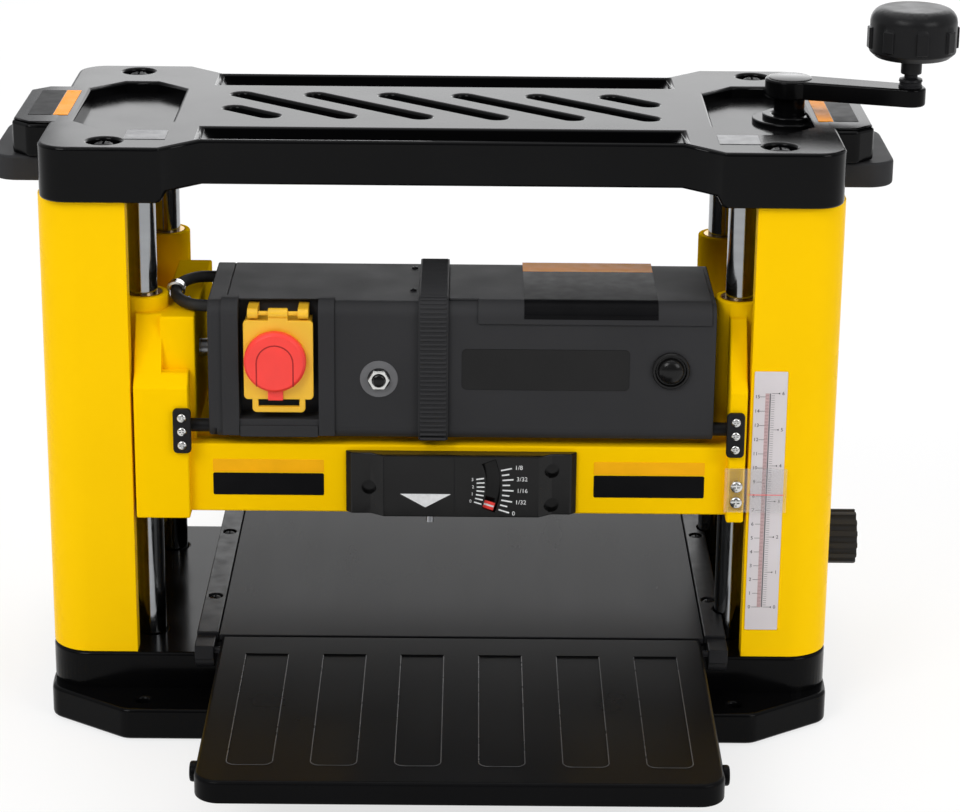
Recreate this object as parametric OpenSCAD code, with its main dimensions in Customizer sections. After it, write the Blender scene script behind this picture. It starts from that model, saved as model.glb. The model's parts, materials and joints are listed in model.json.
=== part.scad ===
/* [Frame] */
// Width over the two columns
overall_w = 530; // [526:1:544]
// Depth of a column, front to back
column_d = 239; // [236:1:250]
// Width of a column's front face
column_face_w = 60; // [58:0.5:62]
// Sheet thickness of a column cover
column_t = 3; // [2:0.5:4]
// Radius of a column's outer corners
column_corner_r = 28; // [16:1:34]
// Height of a column cover
column_h = 316; // [312:1:340]
// Height of the base under the columns
base_h = 48; // [44:1:52]
// Depth of the base over its feet
base_d = 314; // [310:1:330]
// Height of the foot flange
foot_h = 22; // [16:1:28]
// Height of the top plate at its corners
plate_h = 37; // [35:1:48]

/* [Base bolts] */
// Distance between base bolts, left to right
bolt_spacing_x = 400; // [380:1:410]
// Distance between base bolts, front to back
bolt_spacing_y = 280; // [278:1:284]
// Diameter of a base bolt hole
bolt_hole_d = 9; // [6:0.5:11]

/* [Bed and tables] */
// Height of the bed above the floor
bed_z = 64; // [62:0.5:70]
// Width of the bed
bed_w = 328; // [324:1:330]
// Length of the bed, front to back
bed_l = 252; // [248:1:258]
// Thickness of the bed plate
bed_t = 4; // [2:0.5:6]
// Sideways shift of the bed towards the crank side
bed_shift = 15; // [13:0.5:16]
// Width of a bed rail
rail_w = 15; // [12:0.5:16]
// Length of a folding table
table_l = 224; // [180:1:240]
// Height of a folding table's lip
table_lip = 15; // [13:0.5:17]
// Sheet thickness of a folding table
table_t = 2.5; // [1.5:0.5:3]

/* [Guides and lift] */
// Diameter of a guide post
post_d = 19; // [16:0.5:21]
// Distance between posts, left to right
post_spacing_x = 398; // [396:0.5:400]
// Distance between posts, front to back
post_spacing_y = 158; // [156:1:160]
// Diameter of a lead screw
screw_d = 16; // [13:0.5:18]
// Distance between the lead screws
screw_spacing = 470; // [466:1:474]

/* [Carriage] */
// Board thickness that the carriage is set to
board_t = 82; // [60:1:100]
// Height of a carriage side block
block_h = 100; // [94:1:110]
// Width of the left side block
left_block_w = 36; // [35:0.5:37]
// Width of the right side block
right_block_w = 11.5; // [10:0.5:14]
// Height of the front beam
beam_h = 48; // [46:1:50]
// Height of a post boss above the cutting plane
boss_h = 146; // [120:1:150]

/* [Cutterhead and rollers] */
// Length of the knives
knife_l = 318; // [300:1:320]
// Diameter of the cutting circle
cut_d = 48; // [44:0.5:50]
// Number of knives
knife_n = 2; // [2:1:3]
// Diameter of a feed roller
roller_d = 34; // [28:1:35]
// Distance from the cutterhead axis to a feed roller axis
roller_y = 50; // [49:0.5:51]

/* [Motor] */
// Depth of the motor housing, front to back
housing_d = 104; // [100:1:108]
// Height of the motor housing
housing_h = 94; // [92:1:98]
// Radius of the motor housing's long edges
housing_r = 9; // [6:0.5:14]
// Wall of the motor housing
housing_t = 4; // [3:0.5:5]
// Width of the ribbed collar
collar_w = 19.6; // [14:0.1:24]
// Height of the ribbed collar above the housing
collar_rise = 3.6; // [2.4:0.1:4.4]
// Diameter of the brush cap
brush_d = 25; // [22:0.5:28]

/* [Switch] */
// Width of the switch cover
switch_w = 46; // [42:0.5:48]
// Height of the switch cover
switch_h = 54.6; // [50:0.1:58]
// Diameter of the stop paddle
paddle_d = 41; // [34:0.5:42]

/* [Cut gauge] */
// Width of the gauge housing
gauge_w = 154; // [148:1:164]
// Height of the gauge housing
gauge_h = 43; // [42:0.5:45]
// Length of the gauge needle
needle_l = 50; // [44:0.5:52]

/* [Crank] */
// Length of the crank, axis to axis
crank_l = 82; // [70:1:100]
// Thickness of the crank arm
arm_t = 12.5; // [9:0.5:14]
// Diameter of the crank hub
hub_d = 34; // [28:0.5:40]
// Diameter of the crank knob
knob_d = 58; // [44:1:64]
// Height of the crank knob
knob_h = 36; // [28:1:42]

/* [Depth stop] */
// Diameter of the depth stop knob
stop_knob_d = 38; // [30:0.5:44]
// Length of the depth stop knob
stop_knob_l = 24; // [16:0.5:30]

/* [Hidden] */
$fn = 48;
// Overrun of every cut, clearance of running shafts, and gaps between pieces that pass each other
cut = 1;
run_gap = 0.05;
pass_gap = 0.3;
side_gap = 2;

// Columns and base
half_w = overall_w / 2;
column_in = half_w - column_face_w;
column_y = column_d / 2;
column_top = base_h + column_h;
lip_w = 13;
tab_w = 20;
base_wall = 6;
deck_t = 8;
seat_lip = 1.5;
seat_d = column_d + 2 * seat_lip;
foot_chamfer_w = 58;
foot_chamfer_d = 45;
foot_corner_r = 14;
bolt_lug_r = 13;
column_notch = 1;
ear_gap = 1;
post_x = post_spacing_x / 2;
post_y = post_spacing_y / 2;
screw_x = screw_spacing / 2;
socket_wall = 7.5;
post_notch = 1;

// Top plate
plate_top = column_top + plate_h;
plate_inset = 3;
plate_w = overall_w - 2 * plate_inset;
plate_overhang = 5.5;
plate_d = column_d + 2 * plate_overhang;
plate_waist = 24;
plate_mid_d = plate_d - 2 * plate_waist;
plate_corner_r = 20;
plate_wall = 5;
plate_deck = 14;
deck_z = plate_top - plate_deck;
plate_corner_x = 182;
plate_slope_x = 157;
arch_x = 178;
arch_rise = 7;
pocket_depth = 8;
pocket_in = 55;
pocket_out = 11;
pocket_x = [screw_x - pocket_in, screw_x + pocket_out];
pocket_y = 71;
pocket_chamfer = 22;
groove_l = 318;
groove_w = 33;
groove_y = 80.5;
groove_bevel = 9;
post_seat = 5;
slot_n = 5;
slot_pitch = 51;
slot_w = 14;
slot_depth = 6;
slot_run = [84, 73];
slot_y = 2.5;
slot_first_x = -103;
short_slot_share = 0.42;
top_screw_edge = 14;
top_screw_x = column_in + top_screw_edge;
top_screw_y = column_y - top_screw_edge;
top_screw_d = 6;
top_screw_play = 0.5;
top_head_d = 15;
top_head_h = 4;
counterbore_d = 22;
counterbore_h = 5;
screw_boss_d = 18;
screw_end = 8;
wing_w = 26;
wing_l = 110;
wing_h = 24;
wing_chamfer = 12;
wing_drop = 1.5;
grip_w = 41;
grip_l = 104;
grip_h = 17;
grip_r = 18;
grip_t = 4;
grip_gap = 0.5;
grip_x = [half_w + grip_gap, plate_w / 2 + grip_w];
grip_z = plate_top - wing_h - grip_h;

// Bed and rails
bed_x = [bed_shift - bed_w / 2, bed_shift + bed_w / 2];
rail_rise = 2;
rail_gap = 0.5;
pad_margin = 2;
pad_z = bed_z - bed_t;
pad_y = bed_l / 2 - pad_margin;
rail_bar_w = rail_w - rail_gap;
rail_x = [bed_x[0] - (rail_w + rail_gap) / 2, bed_x[1] + (rail_w + rail_gap) / 2];
rail_screw_d = 9;
rail_screw_play = 0.6;
rail_screw_y = 62;
rail_screw_h = 3;

// Folding tables and their hinges
table_trim = 2;
table_half = bed_w / 2 - table_trim;
hinge_ahead = 14;
hinge_drop = 5.5;
hinge_y = bed_l / 2 + hinge_ahead;
hinge_z = bed_z - hinge_drop;
hinge_pin_d = 5;
hinge_pin_in = 5;
hinge_ear_w = 13;
hinge_ear_r = 9;
hinge_ear_front = 6;
table_rear = hinge_y - sqrt(pow(hinge_ahead - pass_gap, 2) - pow(hinge_drop, 2));
table_front = table_rear + table_l;
table_corner_r = 16;
strip_n = 6;
strip_pitch = 51.7;
strip_w = 28.5;
strip_l = 170;
strip_depth = 0.8;
strip_front = 24;
strip_r = 6;
table_bolt_d = 13;
table_bolt_h = 4;
table_bolt_inset = 30;

// Cutting plane and carriage
cut_z = bed_z + board_t;
block_x = column_in - side_gap;
left_in = -block_x + left_block_w;
right_in = block_x - right_block_w;
block_proud = 2;
block_y = -(column_y + block_proud);
block_top = cut_z + block_h;
block_depth = 18;
block_bevel = 8;
beam_recess = 7;
beam_y = block_y + beam_recess;
beam_rise = 3;
beam_t = 17;
beam_z = [cut_z + beam_rise, cut_z + beam_rise + beam_h];
body_rise = 4;
body_h = 52;
body_z = [cut_z + body_rise, cut_z + body_rise + body_h];
body_y = 100;
wall_t = 14;
wall_gap = 7;
head_x = [bed_shift - knife_l / 2, bed_shift + knife_l / 2];
left_wall = [left_in, left_in + wall_t];
right_wall = [head_x[1] + wall_gap, head_x[1] + wall_gap + wall_t];
tunnel_gap = 4;
roller_gap = 2;
chip_y = [6, 27];
chip_inset = 10;
post_boss_d = 33;
post_bush_t = 3;
bush_l = 22;
boss_z = [body_z[0], cut_z + boss_h];
web_slope_share = 0.45;
nut_t = 6;
nut_rise = 60;
nut_h = 22;
nut_z = [cut_z + nut_rise, cut_z + nut_rise + nut_h];
nut_flange_t = 9;
nut_flange_h = 3.5;
lug_w = 38;
lug_end = 16;

// Cutterhead, bearings and rollers
head_z = cut_z + cut_d / 2;
knife_proud = 1.5;
head_d = cut_d - 2 * knife_proud;
head_turn = 40;
journal_d = 15;
bearing_d = 35;
bearing_l = 11;
bearing_inset = 1.5;
knife_t = 3;
knife_depth = 13;
clamp_w = 9;
clamp_sink = 1.5;
roller_drop = 0.8;
roller_z = cut_z - roller_drop + roller_d / 2;
roller_end = 1;
roller_shaft_d = 12;
block_d = 21;

// Belt drive at the left
case_out = 19;
case_in = 4;
case_wall = 4;
case_floor = 2.5;
case_x = [left_in - case_out, left_in + case_in];
case_y = [block_y + block_depth - cut, 34];
case_rise = 136;
case_z = [body_z[0], cut_z + case_rise];
belt_gap = 2;
belt_x = [case_x[0] + case_wall + belt_gap, left_in - belt_gap];
belt_t = 2.5;
belt_clear = 0.4;
head_pulley_d = 26;
motor_pulley_d = 18;

// Motor housing
housing_set = 3.5;
housing_front = block_y + housing_set;
housing_y = housing_front + housing_d / 2;
housing_z = body_z[1] + housing_h / 2;
housing_top = body_z[1] + housing_h;
housing_inset = 13.4;
housing_margin = 22;
housing_x = [left_in + housing_inset, block_x - housing_margin];
split_x = -5;
collar_x = [split_x - collar_w / 2, split_x + collar_w / 2];
end_cap_w = 12;
end_cap_t = 6;
cap_x = [housing_x[0], housing_x[0] + end_cap_w];
cover_t = 1.6;
cover_tongue = 19.4;
cover_margin = 3;
cover_low = 13;
cover_rear = 18;
shaft_d = 12;
shaft_play = 4;
motor_bearing_d = 28;
motor_bearing_l = 8;
bearing_boss_t = 4;
stator_d = housing_h - 2 * housing_t - 2 * pass_gap;
stator_l = 60;
stator_x = 90;
core_d = 49;
air_gap = 0.8;
brush_x = 151.8;
brush_rise = 3;
brush_z = housing_z + brush_rise;
brush_flange = 3;
brush_dome = 4;
brush_dome_share = 0.6;
brush_shank_share = 0.7;
brush_l = 16;
commutator_d = 30;
commutator_l = 18;
fan_d = 70;
fan_l = 10;
fan_x = 30;
fan_n = 10;
fan_blade_t = 2.5;
fan_disc_t = 3;
fan_hub_d = 24;

// Hinge rod of the motor and its clips
rod_d = 9;
rod_set = 7;
rod_boss_t = 2.4;
rod_rise = 63;
rod_end = 9;
rod_y0 = housing_front + rod_set;
rod_z0 = cut_z + rod_rise;
clip_w = 12;
clip_h = 31;
clip_t = 4;
clip_r = 3;
clip_over = 2;
clip_x = [left_in + clip_over - clip_w / 2, right_in - clip_over + clip_w / 2];
clip_screw_d = 6;
clip_screw_h = 1.6;
clip_screw_pitch = 9.5;

// Switch
switch_x = -107;
switch_rise = 8;
switch_z = housing_z + switch_rise;
well_side = 3.3;
well_low = 14;
well_high = 10;
well_d = 17;
well_runout = 8;
well_x = [switch_x - switch_w / 2 - well_side, switch_x + switch_w / 2 + well_side];
well_z = [switch_z - switch_h / 2 - well_low, switch_z + switch_h / 2 + well_high];
flap_t = 4;
flap_sink = 3;
flap_y = housing_front + flap_sink;
flap_r = 3;
flap_gap = 0.5;
knuckle_d = 7;
knuckle_rise = 4.5;
knuckle_w = 13;
knuckle_z = switch_z + switch_h / 2 + knuckle_rise;
knuckle_y = flap_y - flap_t / 2;
switch_pin_d = 3;
lug_t = 7;
lug_place_share = 0.36;
lug_back = 9;
lug_low = 12;
loop_w = 35;
loop_h = 9;
loop_bar = 4;
paddle_h = 7;
paddle_edge = 2;
paddle_shift = 2;
paddle_tab_w = 10;
paddle_tab_h = 7;
button_w = 13;
button_h = 18;
button_sink = 1.5;
button_l = 8;
button_gap = 0.5;
button_x = [switch_x - button_w / 2, switch_x + button_w / 2];
button_z = [switch_z - button_h / 2, switch_z + button_h / 2];
frame_trim = 1;
frame_x = [switch_x - switch_w / 2 + frame_trim, switch_x + switch_w / 2 - frame_trim];
frame_z = [switch_z - switch_h / 2 + frame_trim, switch_z + switch_h / 2 - frame_trim];

// Overload reset
overload_x = -40.8;
overload_drop = 4.6;
overload_z = housing_z - overload_drop;
overload_nut_d = 15;
overload_nut_h = 4;
overload_d = 8;
overload_play = 0.2;
overload_out = 7;
overload_in = 6;

// Cut gauge
gauge_x = 14;
gauge_t = 12;
gauge_rise = 1.5;
gauge_y = beam_y - gauge_t;
gauge_z = [beam_z[0] + gauge_rise, beam_z[0] + gauge_rise + gauge_h];
gauge_mid_w = 103;
gauge_drop = 6;
gauge_slope = 9;
gauge_end = 4;
gauge_skin = 1.5;
gauge_room = 6;
gauge_room_y = [gauge_y + gauge_skin, gauge_y + gauge_skin + gauge_room];
gauge_margin = 2.5;
pivot_x = -12;
pivot_rise = 22;
pivot_z = gauge_z[0] + pivot_rise;
pivot_d = 3;
needle_w = 4;
needle_t = 1.4;
needle_rest = 17.7;
needle_hub_d = 5.2;
window_w = 9;
window_half_angle = 21;
plunger_d = 5;
plunger_arm = 5.2;
plunger_x = pivot_x + plunger_arm;
plunger_top = 5;
plunger_y = gauge_y + gauge_skin + gauge_room / 2;

// Pointer and scale
scale_offset = 21;
scale_zero = bed_z + scale_offset;
scale_edge = 2;
scale_w = 22;
scale_below = 16.6;
scale_l = 184;
scale_t = 0.8;
scale_x = [column_in + scale_edge, column_in + scale_edge + scale_w];
pointer_over = 2;
pointer_x = [right_in - pointer_over, scale_x[1] + pointer_over];
pointer_h = 31;
pointer_t = 2;
pointer_low = 12.8;
pointer_z = scale_zero + board_t - pointer_low;
pointer_screws_share = [0.3, 0.6];

// Chip hood
hood_left = 4;
hood_right = 34;
hood_x = [head_x[0] + hood_left, head_x[1] - hood_right];
hood_gap = 12;
hood_d = 102;
hood_y = [housing_front + housing_d + hood_gap, housing_front + housing_d + hood_gap + hood_d];
hood_h = 54;
hood_t = 3;
hood_slope = 16;
port_d = 50;
port_t = 2.6;
port_l = 30;
port_x = 90;
port_rise = 26;

// Lead of the motor, clipped to the belt case, and its clamp
lead_d = 8;
lead_sides = 10;
lead_origin = [housing_x[0], housing_front, case_z[1]];
lead_offsets = [[0, 82, 8], [-6.4, 82, 8], [-13.4, 77.6, 8.8], [-19.4, 70, 9], [-23.4, 61, 8.5],
    [-24.9, 52, 7.5],
    [-23.9, 42, 6.5], [-19.9, 33, 5.6], [-13.4, 26, 5.2], [-6.4, 23, 5], [0, 23, 5]];
lead_route = [for (p = lead_offsets) lead_origin + p];
clamp_i = 5;
clamp_l = 8;
clamp_t = 1.6;
clamp_play = 0.8;
clamp_foot = 9;

// Feed gearbox on the right wall
gearbox_w = 22;
gearbox_y = 60;
gearbox_r = 10;
gearbox_wall = 4;
gearbox_trim = 1;
shaft_end = right_wall[1] + gearbox_w - gearbox_wall - cut;

// Crank
crank_turn = -18;
crank_rise = 10;
crank_z = plate_top + crank_rise;
neck_d = 21;
journal_end = 12;
crank_top_t = 3;
arm_root_w = 24;
arm_end_d = 21;
spindle_d = 9;
spindle_foot_d = 16;
spindle_foot_h = 6;
spindle_free = 18;
spindle_in_share = 0.7;
knob_z = crank_z + arm_t + spindle_free;
knob_neck_d = 14;
knob_under_d = 49;
knob_neck_h = 9;
knob_edge_share = 0.26;
knob_low_share = 0.18;
knob_under_share = 0.07;
knob_steps = 6;
land_n = 8;
land_w = 8;
land_h = 1.5;
land_share = 0.4;
land_z_share = 0.24;
land_turn = 22;
bush_d = 22;
bush_flange_d = 30;
bush_flange_h = 3;
blind_t = 2;
crank_seat_d = 50;
crank_seat_h = 3;
crank_step_d = 36;
crank_step_h = 6;

// Lift chain in the base
sprocket_d = 34;
sprocket_n = 17;
roller_pin_d = 4;
chain_low = 13;
chain_h = 8;
chain_t = 4;
chain_gap = 0.5;
journal_low = 3;

// Depth stop on the right column
stop_y = -40;
stop_rise = 42;
stop_z = bed_z + stop_rise;
stop_shaft_d = 10;
stop_boss_d = 24;
stop_boss_l = 5;
turret_d = 26;
turret_l = 9;
flute_d = 5;
flute_n = 14;
stop_collar = 4;

// Box between two places along each axis
module span(x, y, z) {
    translate([x[0], y[0], z[0]])
        cube([x[1] - x[0], y[1] - y[0], z[1] - z[0]]);
}

// Round bars along each axis
module rod_x(x, y, z, d) {
    translate([x[0], y, z])
        rotate([0, 90, 0])
            cylinder(h = x[1] - x[0], d = d);
}

module rod_y(x, y, z, d) {
    translate([x, y[1], z])
        rotate([90, 0, 0])
            cylinder(h = y[1] - y[0], d = d);
}

module rod_z(x, y, z, d) {
    translate([x, y, z[0]])
        cylinder(h = z[1] - z[0], d = d);
}

// A flat outline in Y and Z drawn out along X, and one in X and Z drawn out along Y
module along_x(x) {
    translate([x[0], 0, 0])
        rotate([90, 0, 90])
            linear_extrude(x[1] - x[0])
                children();
}

module along_y(y) {
    translate([0, y[1], 0])
        rotate([90, 0, 0])
            linear_extrude(y[1] - y[0])
                children();
}

module along_z(z) {
    translate([0, 0, z[0]])
        linear_extrude(z[1] - z[0])
            children();
}

// Flat rectangle about the middle with round corners
module rounded(w, d, r) {
    square([w - 2 * r, d], center = true);
    square([w, d - 2 * r], center = true);
    for (x = [-1, 1], y = [-1, 1])
        translate([x * (w / 2 - r), y * (d / 2 - r)])
            circle(r);
}

// Flat outline from x[0] to x[1], y to each side, with round corners at x[1]
module capped(x, y, r) {
    translate([x[0], -y])
        square([x[1] - x[0] - r, 2 * y]);
    translate([x[0], r - y])
        square([x[1] - x[0], 2 * (y - r)]);
    for (s = [-1, 1])
        translate([x[1] - r, s * (y - r)])
            circle(r);
}

// Flat slot with round ends about the middle
module long_hole(l, w) {
    square([l - w, w], center = true);
    for (s = [-1, 1])
        translate([s * (l - w) / 2, 0])
            circle(d = w);
}

// Children at both sides, and at all four posts
module both_sides() {
    children();
    mirror([1, 0, 0])
        children();
}

module both_ends() {
    children();
    mirror([0, 1, 0])
        children();
}

module at_posts() {
    for (x = [-post_x, post_x], y = [-post_y, post_y])
        translate([x, y, 0])
            children();
}

module at_top_screws() {
    for (x = [-top_screw_x, top_screw_x], y = [-top_screw_y, top_screw_y])
        translate([x, y, 0])
            children();
}

// Base
module foot_outline() {
    hull()
        for (x = [-1, 1], y = [-1, 1]) {
            translate([x * (half_w - foot_corner_r), y * (base_d / 2 - foot_chamfer_d)])
                circle(foot_corner_r, $fn = 32);
            translate([x * (half_w - foot_chamfer_w), y * (base_d / 2 - foot_corner_r)])
                circle(foot_corner_r, $fn = 32);
        }
    for (x = [-1, 1], y = [-1, 1])
        hull() {
            translate([x * bolt_spacing_x / 2, y * bolt_spacing_y / 2])
                circle(bolt_lug_r, $fn = 32);
            translate([x * bolt_spacing_x / 2, y * (base_d / 2 - foot_chamfer_d)])
                circle(bolt_lug_r, $fn = 32);
        }
}

// Room that the column sheets, the posts and the hinge ears need in what lies beside them
module column_rooms() {
    both_sides()
        difference() {
            column_outline(-column_notch);
            column_outline(column_t + column_notch);
        }
}

module column_footprints() {
    both_sides()
        column_outline(-column_notch);
}

module post_rooms() {
    for (x = [-post_x, post_x], y = [-post_y, post_y])
        translate([x, y])
            circle(d = post_d + 2 * post_notch);
}

module ear_rooms() {
    both_ends()
        for (x = [bed_x[0] - rail_w, bed_x[1] + rail_w - hinge_ear_w])
            translate([x - ear_gap, pad_y])
                square([hinge_ear_w + 2 * ear_gap, hinge_y + hinge_ear_front + ear_gap - pad_y]);
}

module pad_outline() {
    difference() {
        translate([bed_x[0] - rail_w, -pad_y])
            square([bed_w + 2 * rail_w, 2 * pad_y]);
        column_rooms();
        both_sides()
            translate([screw_x, 0])
                circle(d = bush_flange_d + 2 * post_notch);
    }
}

module base_shell() {
    difference() {
        union() {
            along_z([0, foot_h])
                foot_outline();
            along_z([0, base_h])
                difference() {
                    rounded(overall_w, seat_d, column_corner_r);
                    ear_rooms();
                }
            along_z([base_h - deck_t, pad_z])
                pad_outline();
        }
        along_z([-cut, base_h - deck_t])
            rounded(overall_w - 2 * base_wall, seat_d - 2 * base_wall, column_corner_r - base_wall);
    }
}

module base_casting() {
    color("#161616")
        difference() {
            union() {
                base_shell();
                at_posts()
                    rod_z(0, 0, [foot_h - deck_t, base_h - deck_t + cut], post_d + 2 * socket_wall);
                both_sides()
                    rod_z(screw_x, 0, [base_h - 2 * deck_t, base_h - deck_t + cut],
                        bush_d + 2 * socket_wall);
            }
            at_posts()
                rod_z(0, 0, [foot_h, pad_z + cut], post_d);
            both_sides()
                rod_z(screw_x, 0, [0, base_h + cut], bush_d);
            for (x = [-1, 1], y = [-1, 1])
                rod_z(x * bolt_spacing_x / 2, y * bolt_spacing_y / 2, [-cut, foot_h + cut], bolt_hole_d);
        }
}

// Bed
module bed_plate() {
    color("#303236")
        along_z([pad_z, bed_z])
            difference() {
                translate([bed_x[0], -bed_l / 2])
                    square([bed_w, bed_l]);
                column_footprints();
                post_rooms();
            }
}

module at_rail_screws() {
    for (x = rail_x, y = [-rail_screw_y, rail_screw_y])
        translate([x, y, 0])
            children();
}

module bed_rails() {
    color("#1c1c1e")
        difference() {
            for (x = rail_x)
                span([x - rail_bar_w / 2, x + rail_bar_w / 2], [-bed_l / 2, bed_l / 2],
                    [pad_z, bed_z + rail_rise]);
            along_z([pad_z - cut, bed_z + rail_rise + cut]) {
                column_rooms();
                post_rooms();
            }
            at_rail_screws()
                rod_z(0, 0, [pad_z - cut, bed_z + rail_rise + cut], rail_screw_d + rail_screw_play);
        }
}

module frame_screws() {
    color("#1a1a1a") {
        at_rail_screws()
            rod_z(0, 0, [pad_z, pad_z + rail_screw_h], rail_screw_d);
        at_top_screws() {
            rod_z(0, 0, [plate_top - counterbore_h, plate_top - counterbore_h + top_head_h], top_head_d);
            rod_z(0, 0, [column_top - screw_end, plate_top - counterbore_h], top_screw_d);
        }
    }
}

module hinge_ear() {
    translate([-(hinge_y + hinge_ear_front), hinge_z - hinge_ear_r / 2])
        square([hinge_ahead + hinge_ear_front, bed_z - hinge_z + hinge_ear_r / 2]);
    translate([-bed_l / 2 - hinge_ear_r, hinge_z - hinge_ear_r / 2])
        circle(hinge_ear_r);
    translate([-bed_l / 2 - hinge_ear_r, hinge_z - 3 * hinge_ear_r / 2])
        square([hinge_ear_r + pad_margin, pad_z - hinge_z + 3 * hinge_ear_r / 2]);
}

module hinge_brackets() {
    color("#1a1a1c")
        both_ends() {
            along_x([bed_x[0] - rail_w, bed_x[0] - rail_w + hinge_ear_w])
                hinge_ear();
            along_x([bed_x[1] + rail_w - hinge_ear_w, bed_x[1] + rail_w])
                hinge_ear();
            rod_x([bed_x[0] - rail_w, bed_shift - table_half + hinge_pin_in], -hinge_y, hinge_z,
                hinge_pin_d);
            rod_x([bed_shift + table_half - hinge_pin_in, bed_x[1] + rail_w], -hinge_y, hinge_z,
                hinge_pin_d);
        }
}

// Columns
module column_outline(inset) {
    capped([column_in + inset, half_w - inset], column_y - inset, column_corner_r - inset);
}

module column_sheet() {
    difference() {
        union() {
            difference() {
                along_z([base_h, column_top])
                    column_outline(0);
                along_z([base_h - cut, column_top + cut])
                    column_outline(column_t);
                span([column_in - cut, column_in + column_t + cut], [lip_w - column_y, column_y - lip_w],
                    [base_h - cut, column_top + cut]);
            }
            both_ends()
                span([column_in, half_w - column_corner_r], [column_y - tab_w, column_y],
                    [column_top - column_t, column_top]);
        }
        at_top_screws()
            rod_z(0, 0, [column_top - column_t - cut, column_top + cut], top_screw_d + top_screw_play);
    }
}

module left_column_cover() {
    color("#f2b705")
        mirror([1, 0, 0])
            column_sheet();
}

module right_column_cover() {
    color("#f2b705")
        difference() {
            union() {
                column_sheet();
                rod_x([half_w - column_t - stop_boss_l, half_w - column_t], stop_y, stop_z, stop_boss_d);
            }
            rod_x([half_w - column_t - stop_boss_l - cut, half_w + cut], stop_y, stop_z,
                stop_shaft_d + 2 * run_gap);
        }
}

module guide_posts() {
    color("#b8bcc0")
        at_posts()
            rod_z(0, 0, [foot_h, deck_z + post_seat], post_d);
}

// Top plate
module plate_outline(inset) {
    y = plate_d / 2 - inset;
    m = plate_mid_d / 2 - inset;
    x = plate_corner_x + cut;
    polygon([[x, y], [plate_corner_x, y], [plate_slope_x, m], [-plate_slope_x, m],
        [-plate_corner_x, y], [-x, y], [-x, -y], [-plate_corner_x, -y],
        [-plate_slope_x, -m], [plate_slope_x, -m], [plate_corner_x, -y], [x, -y]]);
    both_sides()
        capped([plate_corner_x, plate_w / 2 - inset], y, plate_corner_r - inset);
}

module wing_outline() {
    x = plate_w / 2 + wing_w;
    polygon([[plate_w / 2 - plate_wall, -wing_l / 2], [x - wing_chamfer, -wing_l / 2],
        [x, wing_chamfer - wing_l / 2],
        [x, wing_l / 2 - wing_chamfer], [x - wing_chamfer, wing_l / 2],
            [plate_w / 2 - plate_wall, wing_l / 2]]);
}

module pocket_outline() {
    x = pocket_x;
    polygon([[x[0] + pocket_chamfer, -pocket_y], [x[1] - pocket_chamfer, -pocket_y],
        [x[1], pocket_chamfer - pocket_y],
        [x[1], pocket_y - pocket_chamfer], [x[1] - pocket_chamfer, pocket_y],
            [x[0] + pocket_chamfer, pocket_y],
        [x[0], pocket_y - pocket_chamfer], [x[0], pocket_chamfer - pocket_y]]);
}

// One slanting slot, of which the share at one end is kept
module slant_slot(i, share, end) {
    translate([slot_first_x + i * slot_pitch + end * (1 - share) * slot_run[0] / 2,
        slot_y - end * (1 - share) * slot_run[1] / 2, plate_top - slot_depth])
        rotate([0, 0, -atan2(slot_run[1], slot_run[0])])
            linear_extrude(slot_depth + cut)
                long_hole(share * norm(slot_run), slot_w);
}

module plate_top_cuts() {
    both_sides()
        along_z([plate_top - pocket_depth, plate_top + cut])
            pocket_outline();
    both_ends()
        along_y([groove_y - groove_w / 2, groove_y + groove_w / 2])
            polygon([[-groove_l / 2, plate_top], [groove_bevel - groove_l / 2, plate_top - pocket_depth],
                [groove_l / 2 - groove_bevel, plate_top - pocket_depth], [groove_l / 2, plate_top],
                [groove_l / 2, plate_top + cut], [-groove_l / 2, plate_top + cut]]);
    for (i = [0 : slot_n - 1])
        slant_slot(i, 1, 0);
    slant_slot(-1, short_slot_share, 1);
    slant_slot(slot_n, short_slot_share, -1);
    at_top_screws()
        rod_z(0, 0, [plate_top - counterbore_h, plate_top + cut], counterbore_d);
}

// Stepped boss on the pocket's floor, round the neck of the crank
module crank_seat() {
    low = plate_top - pocket_depth;
    rod_z(screw_x, 0, [low - cut, low + crank_seat_h], crank_seat_d);
    rod_z(screw_x, 0, [low - cut, low + crank_step_h], crank_step_d);
}

module top_plate() {
    color("#101010")
        difference() {
            union() {
                difference() {
                    along_z([column_top, plate_top])
                        plate_outline(0);
                    along_z([column_top - cut, deck_z])
                        plate_outline(plate_wall);
                    along_y([-plate_d, plate_d])
                        polygon([[-plate_corner_x, column_top - cut], [-plate_corner_x, column_top],
                            [-arch_x, column_top + arch_rise], [arch_x, column_top + arch_rise],
                            [plate_corner_x, column_top], [plate_corner_x, column_top - cut]]);
                }
                both_sides()
                    along_z([plate_top - wing_h, plate_top - wing_drop])
                        wing_outline();
                at_top_screws()
                    rod_z(0, 0, [column_top, deck_z + cut], screw_boss_d);
            }
            difference() {
                plate_top_cuts();
                crank_seat();
            }
            at_top_screws()
                rod_z(0, 0, [column_top - cut, plate_top + cut], top_screw_d + top_screw_play);
            at_posts()
                rod_z(0, 0, [deck_z - cut, deck_z + post_seat], post_d);
            rod_z(screw_x, 0, [deck_z - cut, plate_top], bush_d);
            rod_z(-screw_x, 0, [deck_z - cut, plate_top - pocket_depth - blind_t], bush_d);
        }
}

module carry_grips() {
    color("#3a3a3c")
        both_sides()
            difference() {
                along_z([grip_z, grip_z + grip_h])
                    capped(grip_x, grip_l / 2, grip_r);
                along_z([grip_z - cut, grip_z + grip_h - grip_t])
                    capped([grip_x[0] - cut, grip_x[1] - grip_t], grip_l / 2 - grip_t, grip_r - grip_t);
            }
}

module thickness_scale() {
    color("#c8c3c3")
        span(scale_x, [-column_y - scale_t, -column_y],
            [scale_zero - scale_below, scale_zero - scale_below + scale_l]);
}

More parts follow.
